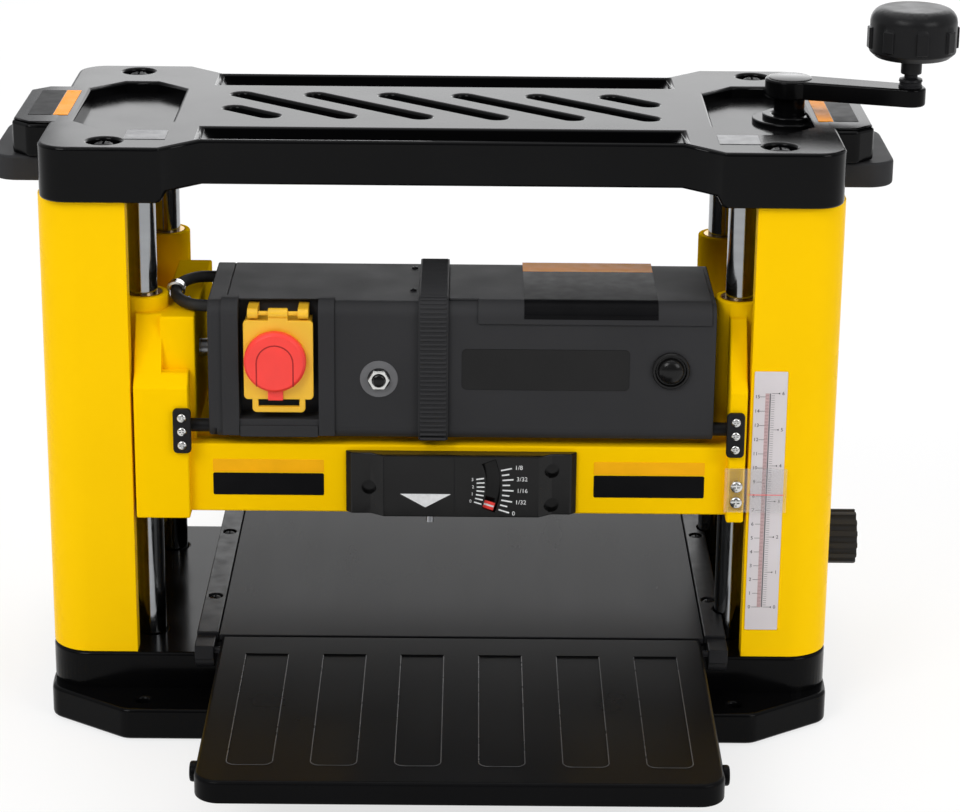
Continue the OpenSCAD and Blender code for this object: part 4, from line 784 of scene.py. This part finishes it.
class Print:
    """Gathers flat print on upright faces into one mesh."""

    def __init__(self):
        self.bm = bmesh.new()

    def words(self, text, size, x, y, z, align="CENTER"):
        """Text that faces the front."""
        curve = bpy.data.curves.new("print", "FONT")
        curve.body = text
        curve.size = size
        curve.align_x = align
        curve.align_y = "CENTER"
        curve.extrude = sizes().ink / 2
        curve.resolution_u = 3
        mesh = curve_mesh(curve)
        mesh.transform(Matrix(((1, 0, 0, x), (0, 0, -1, y), (0, 1, 0, z), (0, 0, 0, 1))))
        self.bm.from_mesh(mesh)
        bpy.data.meshes.remove(mesh)

    def shape(self, points, y):
        """A flat outline of (x, z) points, pressed out to the front."""
        prism(self.bm, *[[self.bm.verts.new((x, level, z)) for x, z in points]
                         for level in (y - sizes().ink / 2, y + sizes().ink / 2)])

    def bar(self, x_span, z_span, y):
        """An upright or level bar."""
        (x0, x1), (z0, z1) = x_span, z_span
        self.shape([(x0, z0), (x1, z0), (x1, z1), (x0, z1)], y)

    def ray(self, centre, angle, reach, width, y):
        """A bar that points away from a centre, over a reach in millimetres."""
        way = Vector((math.cos(angle), math.sin(angle)))
        side = Vector((-way.y, way.x)) * width * MM / 2
        inner, outer = [Vector(centre) + way * far * MM for far in reach]
        self.shape([tuple(spot) for spot in (inner - side, outer - side, outer + side, inner + side)], y)

    def done(self, name, body, look, slot):
        """Seats the print on its body."""
        seat(from_bmesh(name, self.bm), body, look, slot)


# Pieces


class PlanerFrame(bpy.types.Operator):
    """Base, columns, posts, bed and top plate"""

    bl_idname = "planer.frame"
    bl_label = "Frame"

    def execute(self, context):
        s = sizes()
        dressed("base_casting", "gloss_black_paint", s.base_edge)
        dressed("top_plate", "top_plate_black", s.plate_edge)
        for node in ("left_column_cover", "right_column_cover"):
            dressed(node, "yellow_paint", s.sheet_edge, segments=2)
        dressed("carry_grips", "moulded_dark_grey", edge=2.0 * MM)
        dressed("bed_plate", "dark_bed_steel", edge=0.5 * MM, segments=2)
        for node in ("bed_rails", "hinge_brackets"):
            dressed(node, "blackened_steel", edge=0.8 * MM, segments=2)
        carried("ground_bright_steel", "guide_posts")
        carried("bearing_bronze", "screw_bushes")
        return {"FINISHED"}


class PlanerTables(bpy.types.Operator):
    """Folding infeed and outfeed tables"""

    bl_idname = "planer.tables"
    bl_label = "Folding tables"

    STRIPS, PITCH = 6, 51.7 * MM
    TIP_GAP, LENGTH = 24.0 * MM, 168.5 * MM
    HALF, CORNER = 14.25 * MM, 6.0 * MM
    BEAD, SUNK = 0.32 * MM, 0.1 * MM

    def execute(self, context):
        for node, side in (("infeed_table", -1), ("outfeed_table", 1)):
            dressed(node, "satin_black_table", edge=2.6 * MM)
            self.strip_edges(node, side)
        return {"FINISHED"}

    def strip_edges(self, node, side):
        """Beads round the pressed strips of a table, in a grey lighter than the table: a painted highlight on
        their rounded edges.
        """
        low, high, middle = extent(node)
        tip = (low.y if side < 0 else high.y) - side * self.TIP_GAP
        root = tip - side * self.LENGTH
        level = high.z - self.SUNK
        lines = []
        for i in range(self.STRIPS):
            mid = middle.x + (i - (self.STRIPS - 1) / 2) * self.PITCH
            line = [(mid - self.HALF, root, level)]
            for k in range(13):
                turn = math.radians(180 - 15 * k)
                inner = -1 if k < 6.5 else 1
                line.append((mid + inner * (self.HALF - self.CORNER) + self.CORNER * math.cos(turn),
                             tip - side * self.CORNER * (1.0 - math.sin(turn)), level))
            line.insert(7, (mid, tip, level))
            line.append((mid + self.HALF, root, level))
            lines.append(line)
        bead = grown(node + "_strip_edges", bead_tree, path_mesh("strip_path", *lines), Radius=self.BEAD,
                     Finish=finish("rubbed_black"))
        seat(smooth(bead, 60.0), BODY_OF[node], "rubbed_black", SLOT_OF[node])


class PlanerLift(bpy.types.Operator):
    """Crank, knob, lead screws and chain"""

    bl_idname = "planer.lift"
    bl_label = "Lift"

    def execute(self, context):
        dressed("crank_arm", "gloss_black_paint", edge=1.6 * MM)
        dressed("crank_knob", "knob_black", edge=0.8 * MM)
        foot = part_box("crank_arm")[1].z
        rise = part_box("crank_knob")[0].z - foot
        low, high, mid = extent("crank_spindle")
        rings = (stations(low.z, (0.0, 0.0), (4.5, 0.0))
                 + stations(foot, (4.5, 0.0), (8.0, 0.0), (8.0, 1.2), (7.4, 1.9), (7.4, 3.4), (8.0, 4.1),
                            (7.6, 5.6))
                 + stations(foot + 0.68 * rise, (5.6, 0.0)) + stations(foot + 0.74 * rise, (4.5, 0.0))
                 + stations(high.z, (4.5, 0.0), (0.0, 0.0)))
        spindle = turned("crank_spindle_finished", rings, Matrix.Translation((mid.x, mid.y, 0.0)))
        seat(spindle, "crank", "blackened_steel", "screw_steel", "crank_spindle")
        hub = extent("right_lead_screw")[2]
        rings = stations(0.0, (0.0, 0.9), (13.4, 0.9), (14.6, 0.5), (15.0, 0.0), (0.0, 0.0))
        cap = turned("crank_hub_cap", rings, Matrix.Translation((hub.x, hub.y, foot)))
        seat(cap, "crank", "gloss_moulded_black", "gloss_plastic_black")
        carried("turned_steel", "right_lead_screw", "left_lead_screw", "right_sprocket", "left_sprocket",
                "lift_chain")
        return {"FINISHED"}


class PlanerCarriage(bpy.types.Operator):
    """Carriage casting with its rod, clips and depth stop"""

    bl_idname = "planer.carriage"
    bl_label = "Carriage"

    def execute(self, context):
        s = sizes()
        dressed("carriage_casting", "matt_yellow_paint", s.casting_edge)
        dressed("rod_clips", "blackened_steel", edge=1.2 * MM)
        carried("blackened_steel", "hinge_rod")
        dressed("depth_stop", "moulded_dark_grey", edge=1.2 * MM)
        for node in ("chip_hood", "feed_gearbox"):
            dressed(node, "moulded_dark_grey", s.moulding_edge)
        carried("bearing_bronze", "carriage_bushes", "roller_blocks")
        return {"FINISHED"}


class PlanerMotor(bpy.types.Operator):
    """Motor housing with its ribbed collar, cover, cap and lead"""

    bl_idname = "planer.motor"
    bl_label = "Motor housing"

    # Bends of the lead, in millimetres from the front corner of the belt cover at the clamp's height
    LEAD_PATH = [(0, 82, 8), (-6.4, 82, 8), (-13.4, 77.6, 8.8), (-19.4, 70, 9), (-23.4, 61, 8.5),
                 (-24.9, 52, 7.5), (-23.9, 42, 6.5), (-19.9, 33, 5.6), (-13.4, 26, 5.2),
                 (-6.4, 23, 5), (0, 23, 5)]

    def execute(self, context):
        for node in ("motor_housing_left", "motor_housing_right", "belt_cover", "motor_cover"):
            dressed(node, "moulded_dark_grey", sizes().moulding_edge)
        dressed("housing_collar", "moulded_dark_grey", edge=0.6 * MM, segments=2)
        self.ribs()
        self.cheeks()
        self.cap()
        self.lead()
        carried("zinc_screw_steel", "lead_clamp")
        return {"FINISHED"}

    def ribs(self):
        """Round ribs over the collar."""
        low, high, mid = extent("housing_collar")
        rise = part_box("motor_housing_right")[0].y - low.y
        path = housing_profile(rise, low.z + 2.0 * MM, high.y - 14.0 * MM)
        ribs = grown("housing_collar_ribs", rib_tree, path_mesh("rib_path", [(mid.x, y, z) for y, z in path]),
                     Pitch=sizes().rib_pitch, Radius=1.05 * MM, Length=high.x - low.x - 2.4 * MM,
                     Finish=finish("moulded_dark_grey"))
        seat(smooth(ribs, 40.0), "carriage", "moulded_dark_grey", "dark_plastic")

    def cheeks(self):
        """Raised bars beside the switch and a lip under it."""
        profile = housing_profile(0.7 * MM, 205.0 * MM, -105.0 * MM)
        for tag, x0, x1 in (("left", -144.4, -133.4), ("right", -80.6, -70.2)):
            bar = wrapped("switch_%s_cheek" % tag, profile, span(0.0, x0, x1), 1.8 * MM)
            seat(bar, "carriage", "moulded_dark_grey", "dark_plastic")
        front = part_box("motor_housing_left")[0].y
        lip = plate("switch_lip", (span(0.0, -133.0, -81.0), span(front, -1.2, 0.3), span(0.0, 203.6, 211.4)),
                    radius=1.0, edge=0.5 * MM)
        seat(lip, "carriage", "moulded_dark_grey", "dark_plastic")

    def cap(self):
        """Brush cap with a domed middle."""
        low, high, mid = extent("brush_cap")
        deep = high.y - low.y
        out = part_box("motor_housing_right")[0].y - low.y
        base = deep - out
        outline = (stations(0.0, (0.0, 0.0), (8.7, 0.0))
                   + stations(base, (8.7, 0.0), (12.4, 0.0), (12.4, 2.2), (11.8, 2.9), (10.6, 3.0),
                              (9.8, 1.0), (8.9, 1.0))
                   + dome(8.6 * MM, base + 2.6 * MM, out - 2.6 * MM, 10) + [(0.0, deep)])
        cap = turned("brush_cap_finished", outline, facing((mid.x, high.y, mid.z), TO_FRONT))
        seat(cap, "carriage", "gloss_moulded_black", "gloss_plastic_black", "brush_cap")

    def lead(self):
        """Loop of the motor lead."""
        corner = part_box("belt_cover")[0]
        start = Vector((corner.x, corner.y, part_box("lead_clamp")[0].z))
        curve = bpy.data.curves.new("motor_lead_path", "CURVE")
        curve.dimensions = "3D"
        line = curve.splines.new("NURBS")
        line.points.add(len(self.LEAD_PATH) - 1)
        for point, offset in zip(line.points, self.LEAD_PATH):
            point.co = (*(start + Vector(offset) * MM), 1.0)
        line.use_endpoint_u = True
        line.order_u = 3
        line.resolution_u = 8
        curve.bevel_depth = sizes().lead_d / 2 - 0.05 * MM
        curve.bevel_resolution = 5
        curve.use_fill_caps = True
        lead = smooth(new_object("motor_lead_finished", curve_mesh(curve)), 50.0)
        seat(lead, "carriage", "feed_rubber", "black_rubber", "motor_lead")


class PlanerSwitch(bpy.types.Operator):
    """Switch cover, stop paddle, start button and overload reset"""

    bl_idname = "planer.switch"
    bl_label = "Switch"

    GROOVE_RADIUS, GROOVE_WIDTH, GROOVE_LENGTH = 12.5 * MM, 0.9 * MM, 16.0 * MM

    def execute(self, context):
        dressed("switch_cover", "switch_yellow_plastic", edge=0.8 * MM)
        dressed("switch_frame", "switch_yellow_plastic", edge=0.5 * MM, segments=2)
        dressed("stop_paddle", "signal_red_plastic", edge=0.8 * MM)
        carried("start_green_plastic", "start_button")
        self.groove()
        self.overload()
        return {"FINISHED"}

    def groove(self):
        """Dark red line round the raised part of the stop paddle: painted shade of the groove there."""
        low, high, mid = extent("stop_paddle")
        top = high.z - (high.x - low.x) / 2
        outer, inner = self.GROOVE_RADIUS, self.GROOVE_RADIUS - self.GROOVE_WIDTH
        mark = Print()
        for degrees in range(0, 180, 10):
            a, b = math.radians(degrees), math.radians(degrees + 10)
            mark.shape([(mid.x + r * math.cos(t), top + r * math.sin(t))
                        for r, t in ((inner, a), (outer, a), (outer, b), (inner, b))], low.y)
        for x_span in ((mid.x - outer, mid.x - inner), (mid.x + inner, mid.x + outer)):
            mark.bar(x_span, (top - self.GROOVE_LENGTH, top), low.y)
        mark.done("stop_paddle_groove", "switch_lid", "ink_deep_red", "signal_red")

    def overload(self):
        """Overload reset button with its bezel and washer."""
        dressed("overload_bezel", "zinc_screw_steel", edge=0.7 * MM, segments=2)
        low, high, mid = extent("overload_button")
        outline = (stations(0.0, (0.0, 0.0), (4.0, 0.0))
                   + stations(high.y - low.y, (4.0, -1.4), (3.6, -0.5), (2.6, -0.1), (0.0, 0.0)))
        knob = turned("overload_button_finished", outline, facing((mid.x, high.y, mid.z), TO_FRONT), steps=32)
        seat(knob, "overload_key", "gloss_moulded_black", "white_plastic", "overload_button")
        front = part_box("overload_bezel")[1].y
        outline = stations(0.0, (7.6, 0.0), (12.6, 0.0), (12.6, 0.2), (12.4, 0.4), (7.6, 0.4), (7.6, 0.0))
        ring = turned("overload_washer", outline, facing((mid.x, front, mid.z), TO_FRONT), steps=40)
        seat(ring, "carriage", "bare_plate_grey", "gloss_plastic_black")


class PlanerGauge(bpy.types.Operator):
    """Cut gauge with its marks and needle"""

    bl_idname = "planer.gauge"
    bl_label = "Cut gauge"

    HOLES = ((-47.5, 169.3), (74.4, 181.8), (74.2, 157.6))
    PIVOT = (-12.0 * MM, 172.5 * MM)
    NEEDLE_ANGLE = -17.7

    def execute(self, context):
        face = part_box("gauge_housing")[0].y
        bore = stations(0.0, (0.0, 0.0), (5.0, 0.0), (5.0, 10.0), (0.0, 10.0))
        cutters = [lathe("gauge_hole", bore, facing((x * MM, face + 10.5 * MM, z * MM), TO_FRONT), steps=32)
                   for x, z in self.HOLES]
        dressed("gauge_housing", "gloss_moulded_black", edge=0.8 * MM, segments=2, cutters=cutters)
        self.marks(face - sizes().ink / 2)
        self.needle()
        carried("turned_steel", "gauge_plunger")
        return {"FINISHED"}

    def marks(self, y):
        """White marks with both rows of numbers, and the lines beside the middle panel."""
        marks = Print()
        marks.shape([(-26.6 * MM, 166.9 * MM), (7.3 * MM, 166.9 * MM), (-9.8 * MM, 157.4 * MM)], y)
        self.arc(marks, y, self.NEEDLE_ANGLE, 29.9, ((53.6, 61.0), (53.6, 58.6)), 1.0,
                 ("0", "1/32", "1/16", "3/32", "1/8"), 4.2, 63.0, "LEFT")
        self.arc(marks, y, -17.6, 25.5, ((36.4, 41.6), (36.4, 41.6)), 0.9,
                 ("0", "1", "2", "3"), 3.0, 34.6, "RIGHT")
        marks.done("gauge_marks", "carriage", "ink_white", "white_plastic")
        lines = Print()
        for x in (-37.5, 9.5):
            lines.bar(span(0.0, x - 0.2, x + 0.2), span(0.0, 152.0, 192.0), y)
        lines.done("gauge_panel_lines", "carriage", "blackened_steel", "dark_plastic")

    def arc(self, marks, y, start, sweep, reaches, width, texts, size, far, align):
        """Marks round the pivot, long and short in turn, with a number at each long one."""
        last = 2 * len(texts) - 2
        for k in range(last + 1):
            angle = math.radians(start + sweep * k / last)
            marks.ray(self.PIVOT, angle, reaches[k % 2], width, y)
            if k % 2 == 0:
                marks.words(texts[k // 2], size * MM, self.PIVOT[0] + far * MM * math.cos(angle), y,
                            self.PIVOT[1] + far * MM * math.sin(angle), align)

    def needle(self):
        """Red tab with a white stripe on the needle."""
        carried("signal_red_plastic", "gauge_needle")
        angle = math.radians(self.NEEDLE_ANGLE)
        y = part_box("gauge_needle")[0].y - 0.1 * MM
        tab = Print()
        tab.ray(self.PIVOT, angle, (42.5, 50.5), 5.4, y)
        tab.done("needle_tab", "needle", "signal_red_plastic", "signal_red")
        stripe = Print()
        stripe.ray(self.PIVOT, angle, (42.8, 50.2), 1.3, y - sizes().ink)
        stripe.done("needle_stripe", "needle", "ink_white", "white_plastic")


class PlanerScale(bpy.types.Operator):
    """Printed thickness scale and its clear pointer"""

    bl_idname = "planer.scale"
    bl_label = "Thickness scale"

    ZERO = 85.0 * MM
    LAST_MM, LAST_CM, LAST_INCH = 152, 15, 6
    NUMBER = 3.4 * MM

    def execute(self, context):
        low, high, mid = extent("thickness_scale")
        obj = plate("thickness_scale_finished", list(zip(low, high)), radius=0.8)
        seat(obj, "frame", "scale_plate_grey", "scale_plate", "thickness_scale")
        y = low.y - sizes().ink / 2
        self.ticks(mid.x - 0.2 * MM, y)
        self.numbers(mid.x - 0.2 * MM, y)
        dressed("pointer_window", "clear_plastic", edge=0.6 * MM, segments=2)
        low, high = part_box("pointer_window")
        line = Print()
        line.bar((205.5 * MM, high.x - 1.5 * MM), span(0.0, 166.8, 167.25), low.y - sizes().ink / 2)
        line.done("pointer_line", "carriage", "signal_red_plastic", "signal_red")
        return {"FINISHED"}

    def ticks(self, mid, y):
        """Fine marks in millimetres at the left and in inches at the right."""
        ink, tick = sizes().ink, sizes().tick
        for name, count, shift, pitch, wide, tall in (
                ("scale_millimetres", self.LAST_MM + 1, -1.9, MM, 2.4, tick),
                ("scale_centimetres", self.LAST_CM + 1, -4.4, 10 * MM, 4.6, tick * 1.4),
                ("scale_sixteenths", 16 * self.LAST_INCH + 1, 1.9, INCH / 16, 2.2, tick),
                ("scale_inches", self.LAST_INCH + 1, 3.6, INCH, 3.6, tick * 1.4)):
            row = grown(name, row_tree, bpy.data.meshes.new(name), Count=count,
                        Start=(mid + shift * MM, y, self.ZERO), Step=(0.0, 0.0, pitch),
                        Bar=(wide * MM, ink, tall), Finish=finish("ink_black"))
            seat(row, "frame", "ink_black", "scale_plate")

    def numbers(self, mid, y):
        """Numbers and arrows beside the marks, and the lines between them."""
        numbers = Print()
        for k in range(self.LAST_CM + 1):
            numbers.words(str(k), self.NUMBER, mid - 8.4 * MM, y, self.ZERO + 10 * k * MM)
        for k in range(self.LAST_INCH + 1):
            z = self.ZERO + k * INCH
            numbers.words(str(k), self.NUMBER, mid + 8.6 * MM, y, z)
            tip, tail = mid + 5.2 * MM, mid + 6.4 * MM
            numbers.shape([(tip, z), (tail, z - 0.7 * MM), (tail, z + 0.7 * MM)], y)
        numbers.done("scale_numbers", "frame", "ink_black", "scale_plate")
        height = (self.ZERO, self.ZERO + self.LAST_INCH * INCH)
        for name, look, x_span, level in (
                ("scale_line", "ink_grey", span(mid, -0.45, 0.45), y),
                ("scale_strip", "ink_pink", span(mid, -3.2, -0.6), y + sizes().ink * 0.6)):
            line = Print()
            line.bar(x_span, height, level)
            line.done(name, "frame", look, "scale_plate")


class PlanerPlates(bpy.types.Operator):
    """Bare plates and strips on the housing, the beam and the top plate"""

    bl_idname = "planer.plates"
    bl_label = "Bare plates"

    BEAM_FRONT, BEAM_PLATE = -114.5 * MM, 74.0
    COVER_X = span(0.0, 54.5, 142.5)
    WING_EDGE = [(257.0, -53.5), (275.0, -53.5), (286.5, -42.0), (286.5, 42.0), (275.0, 53.5), (257.0, 53.5)]

    def execute(self, context):
        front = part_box("motor_housing_right")[0].y
        spans = (span(0.0, 13.9, 124.5), span(front, -0.4, 0.1), span(0.0, 237.6, 265.7))
        front_plate = plate("front_bare_plate", spans, radius=3.0)
        seat(front_plate, "carriage", "gloss_moulded_black", "gloss_plastic_black")
        self.cover_plates()
        for tag, x in (("left", -151.8), ("right", 102.6)):
            self.beam_plates(tag, span(0.0, x, x + self.BEAM_PLATE))
        for tag, side in (("left", -1), ("right", 1)):
            self.wing_plates(tag, side)
        return {"FINISHED"}

    def cover_plates(self):
        """Dark plate round the front edge of the motor cover and a strip behind it."""
        low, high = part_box("motor_cover")
        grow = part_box("motor_housing_right")[0].y - low.y
        profile = housing_profile(grow + 0.1 * MM, low.z + 6.5 * MM, -44.2 * MM)
        dark = wrapped("cover_bare_plate", profile, self.COVER_X, 0.3 * MM)
        seat(dark, "carriage", "bare_plate_black", "gloss_plastic_black")
        top = high.z + 0.1 * MM
        strip = wrapped("cover_orange_strip", [(-44.0 * MM, top), (-22.5 * MM, top)], self.COVER_X, 0.3 * MM)
        seat(strip, "carriage", "bare_strip_orange", "yellow_paint")

    def beam_plates(self, tag, x_span):
        """Dark plate on one side of the beam, with a header over it."""
        spans = (x_span, span(self.BEAM_FRONT, -0.3, 0.05), span(0.0, 161.0, 176.6))
        bar = plate("beam_%s_bare_plate" % tag, spans, radius=1.2)
        seat(bar, "carriage", "bare_plate_black", "gloss_plastic_black")
        spans = (x_span, span(self.BEAM_FRONT, -0.25, 0.05), span(0.0, 177.2, 186.2))
        head = plate("beam_%s_header" % tag, spans, radius=0.8)
        seat(head, "carriage", "bare_header_amber", "yellow_paint")

    def wing_plates(self, tag, side):
        """Cap, dark plate and strip on one wing of the top plate, and a small plate in its corner."""
        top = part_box("top_plate")[1].z
        wing = top + 0.15 * MM
        outline = [(side * x * MM, y * MM) for x, y in self.WING_EDGE]
        cap = capped("wing_%s_cap" % tag, outline, top - 1.7 * MM, wing, 0.9 * MM)
        seat(cap, "frame", "top_plate_black", "gloss_black")
        for name, look, slot, xs, y_span, z_span, radius in (
                ("wing_%s_bare_plate", "bare_plate_black", "gloss_plastic_black", (262.0, 278.5),
                 span(0.0, -34.0, 40.0), span(wing, -0.05, 0.2), 1.0),
                ("wing_%s_orange_strip", "bare_strip_orange", "yellow_paint", (251.5, 261.5),
                 span(0.0, -34.0, 40.0), (top - 0.05 * MM, wing + 0.2 * MM), 0.4),
                ("corner_%s_bare_plate", "bare_plate_grey", "gloss_plastic_black", (180.0, 207.0),
                 span(0.0, -101.0, -76.0), span(top, -0.05, 0.3), 1.0)):
            x_span = span(0.0, *sorted(side * x for x in xs))
            seat(plate(name % tag, (x_span, y_span, z_span), radius, axis=2), "frame", look, slot)


class PlanerScrews(bpy.types.Operator):
    """Cross recess screws and the dark heads in the top plate"""

    bl_idname = "planer.screws"
    bl_label = "Screws"

    def execute(self, context):
        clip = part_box("rod_clips")[0].y
        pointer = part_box("pointer_window")[0]
        rows = [((x * MM, clip, z * MM), TO_FRONT, 1.0)
                for x in (-171.0, 195.5) for z in (199.5, 209.0, 218.5)]
        rows += [((197.4 * MM, pointer.y, pointer.z + rise * MM), TO_FRONT, 1.35) for rise in (7.44, 18.6)]
        self.field("carriage_screws_finished", rows, "carriage", "zinc_screw_steel", "carriage_screws")
        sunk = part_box("top_plate")[1].z - 5.0 * MM
        heads = [((x * MM, y * MM, sunk), UP, 2.3) for x in (-219.0, 219.0) for y in (-105.5, 105.5)]
        heads += [((x * MM, y * MM, 63.0 * MM), UP, 1.45) for x in (-156.75, 186.75) for y in (-62.0, 62.0)]
        self.field("frame_screws_finished", heads, "frame", "blackened_steel", "frame_screws")
        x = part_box("housing_collar")[0].x - 4.0 * MM
        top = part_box("motor_housing_left")[1].z
        small = [((x, y * MM, top), UP, 0.7) for y in (-85.8, -32.8)]
        self.field("housing_screws", small, "carriage", "blackened_steel")
        return {"FINISHED"}

    def template(self):
        """A dome head with a cross recess, 6 mm across."""
        outline = (stations(0.0, (0.0, -0.2), (3.0, -0.2)) + dome(3.0 * MM, 0.7 * MM, 1.1 * MM, 15)
                   + stations(0.0, (0.0, 1.8)))
        obj = lathe("screw_template", outline, Matrix.Identity(4), steps=28)
        cross = bmesh.new()
        for x, y in ((1.7, 0.34), (0.34, 1.7)):
            slab(cross, (span(0.0, -x, x), span(0.0, -y, y), span(0.0, 0.75, 3.0)), 0.0, axis=2)
        cutter = from_bmesh("screw_recess", cross)
        add_cut(obj, cutter, own_overlaps=True)
        settle(obj)
        bpy.data.objects.remove(cutter)
        return smooth(obj, 30.0)

    def field(self, name, rows, body, look, *nodes):
        """Screws of one finish at spots, each with its way and its size."""
        mesh = bpy.data.meshes.new(name)
        mesh.from_pydata([spot for spot, way, big in rows], [], [])
        ways = mesh.attributes.new("way", "FLOAT_VECTOR", "POINT")
        ways.data.foreach_set("vector", [part for spot, way, big in rows for part in way])
        bigs = mesh.attributes.new("big", "FLOAT", "POINT")
        bigs.data.foreach_set("value", [big for spot, way, big in rows])
        template = self.template()
        obj = grown(name, screw_tree, mesh, Template=template, Finish=finish(look))
        bpy.data.objects.remove(template)
        seat(obj, body, look, "screw_steel", *nodes)


class PlanerInsides(bpy.types.Operator):
    """Cutterhead, rollers, motor and drive inside the carriage"""

    bl_idname = "planer.insides"
    bl_label = "Insides"

    def execute(self, context):
        carried("turned_steel", "cutterhead", "knife_clamps", "head_pulley", "motor_pulley", "ball_bearings",
                "armature")
        carried("ground_bright_steel", "knives")
        carried("feed_rubber", "infeed_roller", "outfeed_roller", "drive_belt")
        carried("varnished_windings", "field_stator")
        return {"FINISHED"}


class PlanerStage(bpy.types.Operator):
    """Floor, soft light and the camera"""

    bl_idname = "planer.stage"
    bl_label = "Stage"

    # Name, place, aim, size in metres and power in watts of each lamp
    LAMPS = (("key", (-1.5, -2.3, 2.3), (0.0, 0.0, 0.2), 1.4, 46.0),
             ("fill", (1.9, -1.9, 1.5), (0.0, 0.0, 0.2), 1.2, 20.0),
             ("top", (0.0, 0.5, 2.4), (0.0, 0.0, 0.3), 2.2, 22.0),
             ("back", (0.5, 2.6, 1.15), (0.0, 0.0, 0.4), 2.4, 26.0))
    LENS, SENSOR = 110.523, 36.0
    CAMERA_SPOT = (0.018883, -1.966171, 0.852062)
    CAMERA_TURN = ((0.9999571, -0.0084955, -0.0036861), (-0.0007661, 0.3207791, -0.9471537),
                   (0.009229, 0.9471159, 0.3207588))
    FLOOR_HALF, FLOOR_DROP, FLOOR_GLOW = 5.0, 0.0006, 0.72
    SKY_STRENGTH = 0.8

    def execute(self, context):
        scene = context.scene
        scene.view_settings.view_transform = "Standard"
        self.floor()
        self.sky(scene)
        for lamp in self.LAMPS:
            self.lamp(*lamp)
        data = bpy.data.cameras.new("camera")
        data.lens = self.LENS
        data.sensor_width = self.SENSOR
        camera = new_object("camera", data)
        camera.matrix_world = Matrix.Translation(self.CAMERA_SPOT) @ Matrix(self.CAMERA_TURN).to_4x4()
        scene.camera = camera
        return {"FINISHED"}

    def floor(self):
        """Pale floor that shows nearly white to the eye and in reflections."""
        bm = bmesh.new()
        bmesh.ops.create_grid(bm, x_segments=2, y_segments=2, size=self.FLOOR_HALF)
        floor = from_bmesh("floor", bm)
        floor.data.transform(Matrix.Translation((0.0, 0.0, -self.FLOOR_DROP)))
        material = bpy.data.materials.new("pale_floor")
        material.use_nodes = True
        tree = material.node_tree
        tree.nodes.clear()
        matte = new_node(tree, "ShaderNodeBsdfDiffuse", Color=(0.86, 0.86, 0.86, 1.0))
        glow = new_node(tree, "ShaderNodeEmission", Color=(1.0, 1.0, 1.0, 1.0), Strength=1.0)
        path = new_node(tree, "ShaderNodeLightPath")
        either = new_node(tree, "ShaderNodeMath", operation="MAXIMUM")
        every = new_node(tree, "ShaderNodeMath", operation="MAXIMUM")
        share = new_node(tree, "ShaderNodeMath", operation="MULTIPLY")
        share.inputs[1].default_value = self.FLOOR_GLOW
        both = new_node(tree, "ShaderNodeMixShader")
        out = new_node(tree, "ShaderNodeOutputMaterial")
        link(tree, (path, "Is Camera Ray", either, 0), (path, "Is Glossy Ray", either, 1),
             (either, 0, every, 0), (path, "Is Transmission Ray", every, 1), (every, 0, share, 0),
             (share, 0, both, 0), (matte, 0, both, 1), (glow, 0, both, 2), (both, 0, out, "Surface"))
        floor.data.materials.append(material)

    def sky(self, scene):
        """Pale studio light all round, dark low down in front."""
        world = bpy.data.worlds.new("studio")
        scene.world = world
        world.use_nodes = True
        tree = world.node_tree
        glow = tree.nodes["Background"]
        way = new_node(tree, "ShaderNodeSeparateXYZ")
        link(tree, (new_node(tree, "ShaderNodeTexCoord"), "Generated", way, 0))
        dark = new_node(tree, "ShaderNodeMath", operation="MULTIPLY")
        tree.links.new(ranged(tree, way.outputs["Y"], 1.0, 0.0, -0.8, 0.0), dark.inputs[0])
        tree.links.new(ranged(tree, way.outputs["Z"], 1.0, 0.0, 0.45, 0.8), dark.inputs[1])
        shade = mixed(tree, dark.outputs[0], (0.85, 0.86, 0.88), (0.16, 0.16, 0.17))
        tree.links.new(shade, glow.inputs["Color"])
        glow.inputs["Strength"].default_value = self.SKY_STRENGTH

    def lamp(self, name, spot, aim, size, power):
        """A square lamp that looks at a point."""
        data = bpy.data.lights.new(name, "AREA")
        data.energy = power
        data.size = size
        obj = new_object(name, data)
        obj.location = spot
        obj.rotation_euler = (Vector(aim) - Vector(spot)).to_track_quat("-Z", "Y").to_euler()


STEPS = (PlanerStage, PlanerFrame, PlanerTables, PlanerLift, PlanerCarriage, PlanerMotor, PlanerSwitch,
         PlanerGauge, PlanerScale, PlanerPlates, PlanerScrews, PlanerInsides)


class PlanerPanel(bpy.types.Panel):
    """Lists the planer's pieces"""

    bl_idname = "VIEW3D_PT_planer"
    bl_label = "Planer"
    bl_space_type = "VIEW_3D"
    bl_region_type = "UI"
    bl_category = "Planer"

    def draw(self, context):
        for step in STEPS:
            self.layout.operator(step.bl_idname)
        for group in (context.scene.planer_sizes, context.scene.planer_colours):
            for key in group.__annotations__:
                self.layout.prop(group, key)


CLASSES = (PlanerColours, PlanerSizes, *STEPS, PlanerPanel)


def register():
    for kind in CLASSES:
        bpy.utils.register_class(kind)
    bpy.types.Scene.planer_colours = bpy.props.PointerProperty(type=PlanerColours)
    bpy.types.Scene.planer_sizes = bpy.props.PointerProperty(type=PlanerSizes)


def unregister():
    del bpy.types.Scene.planer_sizes
    del bpy.types.Scene.planer_colours
    for kind in reversed(CLASSES):
        bpy.utils.unregister_class(kind)


def main():
    register()
    for step in STEPS:
        group, name = step.bl_idname.split(".")
        getattr(getattr(bpy.ops, group), name)()


if __name__ == "__main__":
    main()
